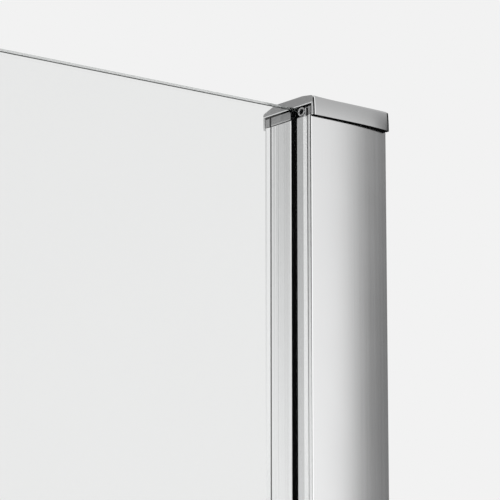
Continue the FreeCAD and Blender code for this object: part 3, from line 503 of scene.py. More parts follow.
def addObject(name, data):
    thing = bpy.data.objects.new(name, data)
    bpy.context.scene.collection.objects.link(thing)
    return thing


def smoothMesh(mesh, angle):
    # faces that meet at less than the angle are shaded as one
    mesh.shade_smooth()
    mesh.set_sharp_from_angle(angle=math.radians(angle))
    mesh.update()


def makePiece(name, parts, materials, node, body="fixed_frame", smooth=32, shadow=True):
    # joins the parts into one object that rides on a body and stands for a CAD node, which it hides
    mesh, finish = skinMesh(name, parts)
    for key in materials:
        mesh.materials.append(finishes[key])
    mesh.polygons.foreach_set("material_index", finish)
    smoothMesh(mesh, smooth)
    piece = addObject(name, mesh)
    piece.visible_shadow = shadow
    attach(piece, body)
    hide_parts(node)
    return piece


def drill(piece, holes, smooth=32):
    # cuts closed skins out of a finished piece
    mesh, _ = skinMesh("drill", holes)
    bit = addObject("drill", mesh)
    cut = piece.modifiers.new("drill", "BOOLEAN")
    cut.object, cut.operation, cut.solver = bit, "DIFFERENCE", "EXACT"
    seen = piece.evaluated_get(bpy.context.evaluated_depsgraph_get())
    whole = piece.data
    piece.data = bpy.data.meshes.new_from_object(seen)
    piece.modifiers.clear()
    bpy.data.objects.remove(bit)
    bpy.data.meshes.remove(mesh)
    bpy.data.meshes.remove(whole)
    piece.data.name = piece.name
    smoothMesh(piece.data, smooth)


# Wall posts: sections in (reach from the wall, offset from the glass), as the CAD has them

sidePlane = -897  # x of the middle of the side pane
postPlaces = {
    "front": {"axes": [(-1, 0, 0), (0, 1, 0), (0, 0, 1)], "origin": (0, 0, 0)},
    "side": {"axes": [(0, -1, 0), (1, 0, 0), (0, 0, 1)], "origin": (sidePlane, -sidePlane, 0)},
}
postNodes = ("wall_channel", "glass_carrier", "glass_gasket", "top_cap")
channelTop, carrierTop, gasketTop, capTop = (nodeBox(f"front_{node}")[1][2] for node in postNodes)
channelSizes = {
    "reach": 40, "front": -11.8, "back": 19.7, "sag": 1.85, "web": 2.5, "wall": 1.8, "pastCarrier": 0.2,
    "lip": 3.05, "lipReach": 5, "lipSlant": 0.38, "lipFlat": 0.9, "edge": 0.8, "backEdge": 0.25, "rim": 0.1,
    "wallEdge": 0.3, "hollowRounds": (0.2, 0.3, 0.2, 0.2, 0.3, 0.4, 0.4, 0.3, 0.2, 0.2, 0.3, 0.2),
    "lipRounds": (0.3, 0.15, 0.3),
    "ribReach": 24.5, "ribWidth": 2.5, "ribEnds": (-8.48, 15.62), "bright": 0.2,
    # holes: radius, where the drill starts and how far from the ends they are
    "wallHole": 2.6, "wallHoleStart": (-1, 3.825), "wallHoleEnds": (100, 680),
    "lockHole": 1.85, "lockReach": 31, "lockStart": 3, "lockEnd": 150, "drillLong": 4.5,
}


def faceFall(reach, sag):
    # how far a curved front face has fallen back at a reach: a circle that is level at the mouth
    mouth = channelSizes["reach"]
    radius = (mouth ** 2 + sag ** 2) / (2 * sag)
    return radius - np.sqrt(radius ** 2 - (mouth - reach) ** 2)


def onPost(points, place):
    # (reach, offset, height) of a post in the enclosure's own frame
    return np.asarray(points, float) @ np.asarray(place["axes"], float) + place["origin"]


def channelSection():
    # the curved face, then back along the hollow with its ribs and round the slanted back lip
    s = channelSizes
    mouth, rib, back = s["reach"], s["ribReach"], s["back"]
    reach = np.linspace(0, mouth, 41)
    face = np.c_[reach, s["front"] + faceFall(reach, s["sag"])]
    innerFront, innerBack = s["front"] + s["wall"], back - s["wall"]
    ribEnd, halfSag = rib + s["ribWidth"], s["sag"] / 2
    frontRib, backRib = s["ribEnds"]
    lipStart, lipFace = mouth - s["lipReach"], back - s["lip"]
    rest = [
        (mouth, innerFront), (ribEnd, innerFront + halfSag), (ribEnd, frontRib), (rib, frontRib),
        (rib, innerFront + halfSag), (s["web"], innerFront + s["sag"]), (s["web"], innerBack),
        (rib, innerBack), (rib, backRib), (ribEnd, backRib), (ribEnd, innerBack),
        (lipStart, innerBack), (lipStart, lipFace), (mouth - s["lipSlant"], lipFace),
        (mouth, back - s["lipFlat"]), (mouth, back), (0, back),
    ]
    radii = [s["wallEdge"]] + [0] * (len(face) - 2) + [s["edge"]]
    radii += [*s["hollowRounds"], *s["lipRounds"], s["backEdge"], s["wallEdge"]]
    return leftward(roundCorners(np.r_[face, rest], radii))


def channelSides(ring):
    # which sides of the outline are inside the hollow, where the extrusion is painted near black for the
    # shade in it
    s = channelSizes
    reach, offset = ((ring + np.roll(ring, -1, 0)) / 2).T
    within = (reach > s["web"] / 2) & (reach < s["reach"] - s["bright"])
    behind = offset > s["front"] + faceFall(reach, s["sag"]) + s["wall"] / 2
    return (within & behind & (offset < s["back"] - s["wall"] / 2)).astype(int)


carrierSizes = {
    "start": 22, "front": -8.5, "bead": (-7.15, -9.32, 0.44), "beadStart": 35.5, "slot": 3.3, "slotEnd": 24,
    "slotEdge": (3.14, 3.64, 0.12), "slotLip": 0.3, "panel": (5.9, 11.3), "sink": 0.05, "back": 15.7,
    "groove": (12.9, 14.7), "grooveWide": 0.16, "grooveDeep": 0.05, "port": (36.4, -6.0, 1.9),
    "chamber": ((23.6, 4.9), (38.0, 14.0)), "chamberRound": 0.5, "bright": 0.6, "rim": 0.05,
    "beadRounds": (0.4, 0.15, 0.15, 0.45, 0.3), "slotRounds": (0.12, 0.3, 0.3, 0.03, 0.03, 0.03, 0.1),
    "backRounds": (0.15, 0.4),
}


def carrierSection():
    # outline from the wall side, round the bead, the slot and the sunk panel; then the port and the chamber
    s = carrierSizes
    mouth = channelSizes["reach"]
    low, high = s["panel"]
    inner, outer, slant = s["bead"]
    edge, edgeEnd, edgeFall = s["slotEdge"]
    lip, bed = mouth - s["slotLip"], mouth - s["sink"]
    corners = [
        (s["start"], s["front"]), (s["beadStart"], s["front"]), (s["beadStart"], outer),
        (mouth - slant, outer), (mouth, inner), (mouth, -s["slot"]), (s["slotEnd"], -s["slot"]),
        (s["slotEnd"], s["slot"]), (lip, s["slot"]), (lip, edge), (mouth - edgeFall, edge),
        (mouth, edgeEnd), (mouth, low), (bed, low), (bed, high), (mouth, high),
    ]
    for v in s["groove"]:
        corners += [(mouth, v - s["grooveWide"]), (mouth - s["grooveDeep"], v), (mouth, v + s["grooveWide"])]
    rounds, ends = [*s["beadRounds"], *s["slotRounds"]], [(mouth, s["back"]), (s["start"], s["back"])]
    radii = rounds + [0] * (len(corners) - len(rounds)) + list(s["backRounds"])
    chamber = rectangle(*s["chamber"], s["chamberRound"])
    return [leftward(roundCorners(corners + ends, radii)), circleRing(*s["port"]), chamber]


def carrierSides(ring):
    # only the faces at the mouth are bright; the faces further in are painted near black for the shade in the
    # hollow, and the front lip of the slot is painted greyer for the shade on it
    reach, offset = ((ring + np.roll(ring, -1, 0)) / 2).T
    lip = (offset > carrierSizes["bead"][0]) & (offset < 0)
    return np.where(reach < channelSizes["reach"] - carrierSizes["bright"], 1, np.where(lip, 2, 0))


gasketSizes = {
    "start": 24.02, "base": 25.98, "mouth": 39.6, "outer": 3.28, "inner": 3.03,
    "rounds": (0.2, 0.08, 0.08, 0.2),
}


def gasketSection():
    # a U round the edge of the glass: the front leg, then its mirror
    s = gasketSizes
    outer = [(s["start"], -s["outer"]), (s["mouth"], -s["outer"])]
    leg = outer + [(s["mouth"], -s["inner"]), (s["base"], -s["inner"])]
    corners = leg + [(reach, -offset) for reach, offset in leg[::-1]]
    return roundCorners(corners, s["rounds"] * 2, 4)


capSizes = {
    "front": -13.25, "back": 20.9, "skirt": 1.05, "skirtTall": 5.2, "backFoot": 0.4, "sag": 1.0,
    "frontSlope": (6.5, 1.15), "backSlope": (7.5, 2.4), "corner": 1.0, "bend": 12, "crown": 0.45,
    "skin": 0.22, "roll": 1.1, "rollTurn": 0.75, "seam": 0.55, "wallSeam": 0.9, "rollLead": 0.3,
    # the sleeve's wall end as (reach past the seam, gap); the black liner behind it, which paints the dark
    # shadow line under the skirts
    "sleeveEdge": ((0, 0.08), (0.03, 0.02), (0.12, 0)), "shadowLinerPeek": 0.12, "shadowLinerGap": 0.02,
    "shadowLinerEnds": (0.02, 0.01), "shadowLinerRoof": 0.05,
    # soft changes along the cap: how much, and ramps as (start, run)
    "frontFade": (6, -14), "wallTurn": 0.1, "turnRamp": (9, -9), "wallDrop": 0.42, "dropRamp": (18, -18),
    "dropTall": -4, "mouthLift": 0.3, "liftRamp": (26, 12), "liftFade": (-7, -4), "liftTall": 2,
    # end plate, plug with a bright bar that paints a highlight along its lower edge, peg and boss
    "plate": 0.23, "plateRound": 0.2, "plateRim": 0.4, "plateLip": 1.8, "plateFlat": 0.12, "plateDrop": 0.5,
    "levelSlack": 0.01, "plugRounds": (0.2, 0.2, 0.3, 1.2), "plugRim": 0.12, "plugBarRim": 0.05,
    "plug": (3.7, 16.0, 31, 39.8), "plugGap": 1.2, "plugJoint": 0.4, "plugBar": (0.5, 0.45, 0.05),
    "peg": (36.4, -6.0, 1.75), "pegTall": 10, "pegRim": 0.3,
    "boss": (37, -5.65), "bossDrop": 2.7, "bossFlat": 0.85,
    # blocks that stand on the lips: offsets, reaches, heights above the carrier's end and finish; finish 2 is
    # the darker satin chrome, painted shade on the lips under the cap
    "lipBlockRound": 0.2, "lipBlockRim": 0.12,
    "lipBlocks": (
        (-11.7, -9.95, 36, 39.9, 0.4, 3.7, 2), (-8.55, -7.6, 36, 39.6, 1.2, 3.5, 0),
        (17.0, 19.65, 36, 39.9, 0.4, 3.7, 2), (-8.85, -7.2, 37, 39.95, -0.1, 0.9, 0),
        (-7.1, -3.45, 37, 39.95, -0.1, 0.35, 2),
    ),
}
# boss of the cap's fixing screw: rows (radius, height, hexagon), a rim round a hexagon socket
bossProfile = [
    (2.2, 0), (2.2, 2.5), (2.1, 2.8), (1.9, 2.95), (1.6, 2.95), (1.45, 2.85),
    (1.4, 2.7, 1), (1.25, 1.5, 1), (0.05, 1.2, 1),
]
# the last band, the socket's floor, is black rubber: painted shade in the socket
bossBands = [3, 3, 3, 3, 3, 3, 3, 1]


def capPath():
    # the cap's outside in (offset, height), from the foot of the front skirt over the top to the foot of the
    # back skirt, and the step into the cap at each point; the front is crowned by a parabola
    s = capSizes
    front, back, foot = s["front"], s["back"], channelTop - s["skirtTall"]
    frontWide, frontDrop = s["frontSlope"]
    backWide, backDrop = s["backSlope"]
    t = np.linspace(0, 0.8, 10)
    rise = np.c_[front + s["crown"] * t ** 2, foot + (capTop - frontDrop - foot) * t]
    rest = [
        (front + s["crown"], capTop - frontDrop), (front + frontWide, capTop), (back - backWide, capTop),
        (back, capTop - backDrop), (back, foot - s["backFoot"]),
    ]
    radii = [0] * len(rise) + [s["corner"], s["bend"], s["bend"], s["corner"], 0]
    path = roundCorners(np.r_[rise, rest], radii, 10)
    step = -inwards(path)
    step[0], step[-1] = (1, 0), (-1, 0)
    return path, step


def ramp(values, start, run):
    # straight ramp from 0 at start to 1 at start + run, level outside
    return np.clip((values - start) / run, 0, 1)


def capSkin(outer, inner, reaches, innerSag, place, finish):
    # a ring of (offset, height) at each reach; the front half of its outside falls back with the cap, and
    # of its inside by innerSag; squared ramps lift its front shoulder at the mouth, and turn its front in
    # and drop its front foot at the wall
    s = capSizes
    reaches = np.asarray(reaches, float)
    sides = []
    for ring, sag in ((outer, s["sag"]), (inner, innerSag)):
        offset, height = ring[..., 0], ring[..., 1]
        shoulder = ramp(offset, *s["liftFade"]) * ramp(height, channelTop, s["liftTall"])
        foot = ramp(height, channelTop, s["dropTall"]) * (offset < 0)
        lift = s["mouthLift"] * ramp(reaches, *s["liftRamp"])[:, None] ** 2 * shoulder
        lift = lift - s["wallDrop"] * ramp(reaches, *s["dropRamp"])[:, None] ** 2 * foot
        fall = faceFall(reaches, sag) + s["wallTurn"] * ramp(reaches, *s["turnRamp"]) ** 2
        moved = offset + fall[:, None] * ramp(offset, *s["frontFade"])
        sides.append(np.stack([np.broadcast_to(reaches[:, None], moved.shape), moved, height + lift], -1))
    rings = np.concatenate(sides, 1)
    rows, columns = rings.shape[:2]
    faces = gridFaces(rows, columns).tolist()
    looks = np.broadcast_to(finish, (rows - 1, columns)).ravel().tolist()
    for row, turn in ((0, -1), (rows - 1, 1)):
        triangles = fillRings([rings[row][:, 1:]]) + row * columns
        faces += triangles[:, ::turn].tolist()
        looks += [int(np.max(finish))] * len(triangles)
    return outward(onPost(rings.reshape(-1, 3), place), faces, looks)


def capSleeve(place):
    # chrome sleeve that rolls in by a circle at its mouth end, and a black liner that shows as a thin line
    # below it: a painted shadow line
    s, mouth = capSizes, channelSizes["reach"]
    path, step = capPath()
    sleeveEnd = mouth - s["plate"] - s["seam"]
    turn = np.linspace(0, s["rollTurn"], 7)
    edgeReach, edgeGap = np.array(s["sleeveEdge"]).T
    plain = np.linspace(2, sleeveEnd - s["roll"] - s["rollLead"], 30)
    rolled = sleeveEnd - s["roll"] * (s["rollTurn"] - turn)
    reaches = np.r_[s["wallSeam"] + edgeReach, plain, rolled]
    gap = np.r_[edgeGap, np.zeros(len(plain)), s["roll"] * (1 - np.sqrt(1 - turn ** 2))][:, None, None]
    outer, inner = path[None] + gap * step, path[None] + (gap + s["skin"]) * step
    sleeve = capSkin(outer, inner[:, ::-1], reaches, s["sag"], place, 0)

    # the liner is black: painted shadow under the skirts and inside the cap
    start, end = s["shadowLinerEnds"]
    shadowLinerReaches = np.r_[start, reaches[2:], mouth - s["plate"] - end]
    shadowLinerGap = np.r_[0, gap[2:, 0, 0], gap[-1, 0, 0]][:, None, None] + s["skin"] + s["shadowLinerGap"]
    shadowLinerOuter = path[None] + shadowLinerGap * step
    shadowLinerOuter[:, [0, -1], 1] -= s["shadowLinerPeek"]
    front, back = path[0, 0] + s["skirt"], path[-1, 0] - s["skirt"]
    low, roof = channelTop - s["skirtTall"] - s["shadowLinerPeek"], channelTop + s["shadowLinerRoof"]
    hollow = np.array([(back, low - s["backFoot"]), (back, roof), (front, roof), (front, low)])
    hollow = np.broadcast_to(hollow, (len(shadowLinerReaches), 4, 2))
    return [sleeve, capSkin(shadowLinerOuter, hollow, shadowLinerReaches, channelSizes["sag"], place, 1)]


def endPiece(ring, place, finish):
    # a flat piece across the mouth end, its lower edge a quarter ellipse and the rest of its rim sharper
    s = capSizes
    a = np.linspace(0, np.pi / 2, 6)
    reaches = channelSizes["reach"] - np.r_[s["plate"], s["plateRound"] * (1 - np.sin(a)), 0]
    inset = np.r_[0, s["plateRound"] * (1 - np.cos(a)), s["plateRound"]]
    lowest = ring[:, 1].min() + s["levelSlack"]
    lower = np.where(ring[:, 1] < lowest, s["plateLip"], s["plateRim"])
    inset = inset[:, None] * lower[None] + np.r_[np.zeros(len(a) + 1), s["plateFlat"]][:, None]
    rows = ring[None] + inset[..., None] * inwards(ring)[None]
    return capSkin(rows, np.zeros((len(rows), 0, 2)), reaches, s["sag"], place, finish)


def capEnds(place):
    # satin plate across the mouth whose underside takes the brighter chrome, a painted highlight along its
    # lower edge, and the chrome ends of both skirts below it
    s = capSizes
    path, _ = capPath()
    foot, plateFoot = channelTop - s["skirtTall"], channelTop - s["plateDrop"]
    front, back = path[0, 0] + s["skirt"], path[-1, 0] - s["skirt"]
    above = path[path[:, 1] > plateFoot]
    halves = path[:len(path) // 2], path[len(path) // 2:]
    frontEdge, backEdge = (half[half[:, 1] <= plateFoot] for half in halves)
    frontTop, backTop = (frontEdge[-1, 0], plateFoot), (back + s["skirt"], plateFoot)
    plate = leftward(np.r_[[frontTop], above, [backTop]])
    height = (plate + np.roll(plate, -1, 0))[:, 1] / 2
    # the underside in the brighter chrome paints the highlight of the lower edge
    underside = np.where(height < plateFoot + s["levelSlack"], 0, 2)
    frontEnd = np.r_[frontEdge, [frontTop, (front, plateFoot), (front, foot)]]
    backEnd = np.r_[[(back, foot - s["backFoot"]), (back, plateFoot), backTop], backEdge]
    skirts = [endPiece(leftward(end), place, 0) for end in (frontEnd, backEnd)]
    return [endPiece(plate, place, underside)] + skirts


def capInside(place):
    # zinc plug with a bright chrome bar along its lower edge, a painted highlight, blocks on the lips, steel
    # peg and screw boss
    s, origin = capSizes, place["origin"]
    along, across, up = place["axes"]
    low, high, near, far = s["plug"]
    foot, top = carrierTop + s["plugJoint"], channelTop - s["plugGap"]
    plug = rectangle((low, foot), (high, top), s["plugRounds"])
    # the bar is chrome on the zinc plug: a painted highlight along its lower edge
    deep, tall, proud = s["plugBar"]
    bar = rectangle((far - deep, foot), (far + proud, foot + tall), 0)
    parts = [
        prism([plug], rimLevels(near, far, s["plugRim"]), [across, up, along], origin, 4, 4),
        prism([bar], rimLevels(low, high, s["plugBarRim"]), [along, up, across], origin),
    ]
    for low, high, near, far, foot, top, finish in s["lipBlocks"]:
        ring = rectangle((near, low), (far, high), s["lipBlockRound"])
        levels = rimLevels(carrierTop + foot, carrierTop + top, s["lipBlockRim"])
        parts.append(prism([ring], levels, place["axes"], origin, finish, finish))
    levels = rimLevels(channelTop - s["pegTall"], channelTop, s["pegRim"])
    parts.append(prism([circleRing(*s["peg"])], levels, place["axes"], origin, 3, 3))
    bossFoot = onPost((*s["boss"], channelTop - s["bossDrop"]), place)
    boss = turned(bossProfile, bossFoot, along, 48, bossBands)
    # the boss is flattened in height
    boss[0][:, 2] = bossFoot[2] + s["bossFlat"] * (boss[0][:, 2] - bossFoot[2])
    return parts + [boss]


lockHeights = (channelSizes["lockEnd"], channelTop / 2, channelTop - channelSizes["lockEnd"])


def channelBores(place):
    # drills for the wall holes, along the reach, and for the locking screws, across the back
    s = channelSizes
    along, across, _ = place["axes"]
    wallHeights = [z for end in s["wallHoleEnds"] for z in (end, channelTop - end)]
    bores = [((*s["wallHoleStart"], z), along, s["wallHole"]) for z in wallHeights]
    bores += [((s["lockReach"], s["back"] - s["lockStart"], z), across, s["lockHole"]) for z in lockHeights]
    long = s["drillLong"]
    return [turned([(radius, 0), (radius, long)], onPost(foot, place), axis) for foot, axis, radius in bores]


for post, place in postPlaces.items():
    axes, origin = place["axes"], place["origin"]
    # the second and third metals are painted shade, in the hollow and on the lips
    metals = ["uprightAluminium", "hollowShadeAluminium", "shadedLipAluminium"]
    section = channelSection()
    levels = rimLevels(0, carrierTop + channelSizes["pastCarrier"], channelSizes["rim"], 3)
    skin = prism([section], levels, axes, origin, channelSides(section))
    drill(makePiece(f"{post}Channel", [skin], metals[:2], f"{post}_wall_channel"), channelBores(place))
    rings = carrierSection()
    levels = rimLevels(0, carrierTop, carrierSizes["rim"], 3)
    skin = prism(rings, levels, axes, origin, carrierSides(rings[0]), 0, 1)
    makePiece(f"{post}Carrier", [skin], metals, f"{post}_glass_carrier")
    skin = prism([gasketSection()], [(0, 0), (gasketTop, 0)], axes, origin)
    makePiece(f"{post}Gasket", [skin], ["rubber"], f"{post}_glass_gasket")
    looks = ["chrome", "rubber", "satinChrome", "steel", "castZinc"]
    parts = capSleeve(place) + capEnds(place) + capInside(place)
    makePiece(f"{post}Cap", parts, looks, f"{post}_top_cap")
print("wall posts built")


# Glass

pinHalf = 28  # half the length of a hinge pin
hingeLevels = {level: nodeBox(f"{level}_hinge_pin")[0][2] + pinHalf for level in ("lower", "upper")}
(_, _, paneFoot), (_, _, paneTop) = nodeBox("front_fixed_pane")
doorFoot = nodeBox("door_pane")[0][2]
glassSizes = {
    "half": 3.0, "arris": 0.22, "corner": 1, "notch": (38, 58, 8), "notchCorner": 0.8,
    "fixedSpan": (-26, -290), "doorSpan": (-886, -300), "sideSpan": (13, 871),
    "handleHoles": ((-830, 920), (-830, 1080)), "handleHole": 6,
}


def notchedOutline(span, foot):
    # pane outline with a hinge notch at two heights in the far side of its span
    s = glassSizes
    near, edge = span
    depth, tall, bend = s["notch"]
    deep = edge + math.copysign(depth, near - edge)
    corners, radii = [(near, foot), (edge, foot)], [s["corner"]] * 2
    for z in hingeLevels.values():
        low, high = z - tall / 2, z + tall / 2
        corners += [(edge, low), (deep, low), (deep, high), (edge, high)]
        radii += [s["notchCorner"], bend, bend, s["notchCorner"]]
    return roundCorners(corners + [(edge, paneTop), (near, paneTop)], radii + [s["corner"]] * 2, 8)


def pane(name, outlines, node, body="fixed_frame", run="y", origin=(0, 0, 0)):
    # sheet with a flat ground edge, its first arris polished with it and the second painted near black, a
    # painted shade for the dark line along the edge
    half, arris = glassSizes["half"], glassSizes["arris"]
    levels = [(-half, arris), (arris - half, 0), (half - arris, 0), (half, arris)]
    edges = np.array([1, 1, 2])[:, None]
    skin = prism(outlines, levels, runs[run], origin, edges, 0)
    makePiece(name, [skin], ["clearGlass", "glassEdge", "shadedGlassArris"], node, body, 20, False)


pane("fixedPane", [notchedOutline(glassSizes["fixedSpan"], paneFoot)], "front_fixed_pane")
doorOutlines = [notchedOutline(glassSizes["doorSpan"], doorFoot)]
doorOutlines += [circleRing(x, z, glassSizes["handleHole"]) for x, z in glassSizes["handleHoles"]]
pane("doorPane", doorOutlines, "door_pane", "door")
near, far = glassSizes["sideSpan"]
sideOutline = rectangle((near, paneFoot), (far, paneTop), glassSizes["corner"])
pane("sidePane", [sideOutline], "side_pane", run="x", origin=(sidePlane, 0, 0))
print("glass built")


# Floor channels, threshold and setting blocks

floorSizes = {
    "half": 6, "wall": 2.4, "base": 3, "tall": 18, "edge": 0.4, "root": 0.6, "rim": 0.25,
    "blocks": {"front": (-130, -240), "side": (160, 671)}, "blockLong": 40, "blockEdge": 0.6, "plugEdge": 0.8,
}
sillSizes = {
    "front": -12, "back": 18, "lip": 2, "top": 8, "topEnds": (-5, 7), "grooves": (4.5, 1, -2.5),
    "groove": (0.55, 0.45), "grooveRounds": (0.1, 0.15, 0.1), "round": 0.8, "footRound": 0.2, "rim": 0.3,
}


def floorSection(middle):
    # an upright U about a pane, in (across, height)
    s = floorSizes
    inner, edge = s["half"] - s["wall"], s["edge"]
    right = [(inner, s["base"]), (inner, s["tall"]), (s["half"], s["tall"]), (s["half"], 0)]
    corners = right[::-1] + [(-across, height) for across, height in right]
    radii = [edge, edge, edge, s["root"]]
    return roundCorners(np.array(corners) + (middle, 0), radii + radii[::-1])


def sillSection():
    # low ridge with sloped sides and fine anti-slip grooves along its top, in (y, height)
    s = sillSizes
    low, high = s["topEnds"]
    wide, deep = s["groove"]
    corners = [(s["front"], 0), (s["back"], 0), (s["back"], s["lip"]), (high, s["top"])]
    radii = [s["footRound"]] * 2 + [s["round"]] * 2
    for y in s["grooves"]:
        corners += [(y + wide, s["top"]), (y, s["top"] - deep), (y - wide, s["top"])]
        radii += s["grooveRounds"]
    corners += [(low, s["top"]), (s["front"], s["lip"])]
    return roundCorners(corners, radii + [s["round"]] * 2, 5)


def alongBox(node, run, rim):
    # levels from one end of a CAD node to the other
    low, high = (corner["xyz".index(run)] for corner in nodeBox(node))
    return rimLevels(low, high, rim, 3)


def settingBlocks(post, run):
    # equal blocks along a floor channel, as wide and tall as the CAD node
    s = floorSizes
    low, high = nodeBox(f"{post}_setting_blocks")
    i = "xyz".index(run)
    parts = []
    for start in s["blocks"][post]:
        a, b = list(low), list(high)
        a[i], b[i] = start, start + s["blockLong"]
        parts.append(block(a, b, s["blockEdge"], run))
    return parts


floorRuns = {"front": (0, "x", "crossAluminium"), "side": (sidePlane, "y", "deepAluminium")}
for post, (middle, run, finish) in floorRuns.items():
    node = f"{post}_floor_channel"
    skin = prism([floorSection(middle)], alongBox(node, run, floorSizes["rim"]), runs[run])
    makePiece(f"{post}FloorChannel", [skin], [finish], node)
    makePiece(f"{post}SettingBlocks", settingBlocks(post, run), ["plastic"], f"{post}_setting_blocks")
plug = block(*nodeBox("side_floor_plug"), floorSizes["plugEdge"], "y")
makePiece("sideFloorPlug", [plug], ["plastic"], "side_floor_plug")
sill = prism([sillSection()], alongBox("door_threshold", "x", sillSizes["rim"]), runs["x"])
makePiece("doorThreshold", [sill], ["crossAluminium"], "door_threshold")
print("floor pieces built")

# Hinges, one pair of leaves at each height; into is 1 for the leaf on the wall side

hingeSizes = {
    "axis": -295, "near": 13, "long": 45, "tall": 90, "corner": 1.6, "well": 4.6, "wellInset": 0.2,
    "screwReach": 33, "screwSpread": 16, "seat": 6.8, "barrel": 8,
    "heart": (13, 41), "heartHalf": 26, "heartDeep": (-3.6, 3.9), "heartEdge": 0.6,
    "arm": (6.6, 13.3), "armHalf": 5, "armEdge": 0.5,
    "knuckles": {1: ((-28, -12), (12, 28)), -1: ((-11.5, 11.5),)}, "bores": {1: 4.05, -1: 5.6},
    "barrelRim": (0.15, 0.5), "boreRim": 0.2,
}
# rows (distance from the glass, inset): the outer rim of a plate is a bevel between two small bends
plateLevels = np.array([
    (3.8, 0.2), (3.8, 0.1), (3.9, 0), (8.5, 0), (8.62, 0.02), (8.75, 0.12),
    (9.65, 1.02), (9.77, 1.14), (9.8, 1.3), (9.8, 1.5),
])
# rows (radius, height, hexagon) of the leaf screws and pins
leafScrewProfile = [
    (2.3, -14.6), (2.5, -14.3), (2.5, -0.05), (4.2, 0), (4.5, 0.2), (4.5, 2.5), (4.35, 2.85), (4.0, 2.98),
    (2.35, 2.98), (2.2, 2.9, 1), (2.15, 1.2, 1), (0.1, 0.9, 1),
]
pinProfile = [(3.2, 0), (3.7, 0.15), (3.98, 0.6), (3.98, 55.4), (3.7, 55.85), (3.2, 56)]


def screwSpots(into, centre):
    s = hingeSizes
    return [(s["axis"] + into * s["screwReach"], centre + way * s["screwSpread"]) for way in (-1, 1)]


def leafPlate(into, centre, side):
    # rounded rectangle carried outwards from the glass; the plate inside the shower has screw wells
    s = hingeSizes
    near, far = (s["axis"] + into * reach for reach in (s["near"], s["near"] + s["long"]))
    low, high = centre - s["tall"] / 2, centre + s["tall"] / 2
    outlines = [rectangle((near, low), (far, high), s["corner"])]
    if side > 0:
        outlines += [circleRing(x, z, s["well"]) for x, z in screwSpots(into, centre)]
    levels = plateLevels if side > 0 else (plateLevels * (-1, 1))[::-1]
    return prism(outlines, levels, runs["y"], boreInset=s["wellInset"])


def leafBlock(into, centre, reaches, depths, heights, edge):
    s = hingeSizes
    xs = sorted(s["axis"] + into * reach for reach in reaches)
    ends = [(x, depth, centre + height) for x, depth, height in zip(xs, depths, heights)]
    return block(*ends, edge)


def knuckle(into, centre, low, high):
    # a ring about the hinge axis with rounded rims
    s = hingeSizes
    bore, barrel, tall = s["bores"][into], s["barrel"], high - low
    (part, rim), edge = s["barrelRim"], s["boreRim"]
    rows = [
        (barrel, rim), (barrel, tall - rim), (barrel - part, tall - part), (barrel - rim, tall),
        (bore + edge, tall), (bore, tall - edge), (bore, edge), (bore + edge, 0),
        (barrel - rim, 0), (barrel - part, part),
    ]
    return turned(rows, (s["axis"], 0, centre + low), (0, 0, 1), 56, 0, True)


def leafCasting(into, centre):
    s = hingeSizes
    half = s["heartHalf"]
    parts = [leafPlate(into, centre, 1)]
    parts.append(leafBlock(into, centre, s["heart"], s["heartDeep"], (-half, half), s["heartEdge"]))
    for span in s["knuckles"][into]:
        parts.append(leafBlock(into, centre, s["arm"], (-s["armHalf"], s["armHalf"]), span, s["armEdge"]))
        parts.append(knuckle(into, centre, *span))
    return parts


leafBodies = {"fixed": (1, "fixed_frame"), "door": (-1, "door")}
for leaf, (into, body) in leafBodies.items():
    for level, centre in hingeLevels.items():
        node, title = f"{level}_hinge_{leaf}", level + "Hinge" + leaf.title()
        makePiece(title + "Body", leafCasting(into, centre), ["chrome"], node + "_body", body)
        makePiece(title + "Cover", [leafPlate(into, centre, -1)], ["chrome"], node + "_cover", body)
    spots = [spot for centre in hingeLevels.values() for spot in screwSpots(into, centre)]
    screws = [turned(leafScrewProfile, (x, hingeSizes["seat"], z), (0, 1, 0), 48) for x, z in spots]
    makePiece(f"{leaf}LeafScrews", screws, ["steel"], f"hinge_{leaf}_screws", body)
for level, centre in hingeLevels.items():
    pin = turned(pinProfile, (hingeSizes["axis"], 0, centre - pinHalf), (0, 0, 1), 48)
    makePiece(level + "HingePin", [pin], ["steel"], f"{level}_hinge_pin")
print("hinges built")

# Pull handles

handleSizes = {"barEdge": 2, "washerFoot": 3.0, "postFoot": 4.0, "tubeFoot": -2.98}
# rows (radius, height): a post with a fine groove under the bar, a washer and a bush in the glass
postProfile = [(5.6, 0), (6, 0.4), (6, 20), (5.6, 20.3), (5.6, 21), (6, 21.3), (6, 26.1)]
washerProfile = [(8, 0.2), (8, 0.8), (7.8, 1), (3.1, 1), (3.1, 0), (7.8, 0)]
tubeProfile = [(5.5, 0), (5.5, 5.96), (3.1, 5.96), (3.1, 0)]


def handleRings(profile, foot, wrap=True, sides=(-1, 1)):
    # the profile spun about each hole in the door, outwards on each side
    spots = [(x, z, side) for x, z in glassSizes["handleHoles"] for side in sides]
    return [turned(profile, (x, side * foot, z), (0, side, 0), 48, 0, wrap) for x, z, side in spots]


for tag in ("outer", "inner"):
    bar = block(*nodeBox(f"{tag}_handle_bar"), handleSizes["barEdge"], "z")
    makePiece(f"{tag}HandleBar", [bar], ["chrome"], f"{tag}_handle_bar", "door")
posts = handleRings(postProfile, handleSizes["postFoot"], False)
makePiece("handleStandoffs", posts, ["chrome"], "handle_standoffs", "door")
washers = handleRings(washerProfile, handleSizes["washerFoot"])
makePiece("handleWashers", washers, ["plastic"], "handle_washers", "door")
tubes = handleRings(tubeProfile, handleSizes["tubeFoot"], sides=(1,))
makePiece("handleGlassBushes", tubes, ["plastic"], "handle_glass_bushes", "door")

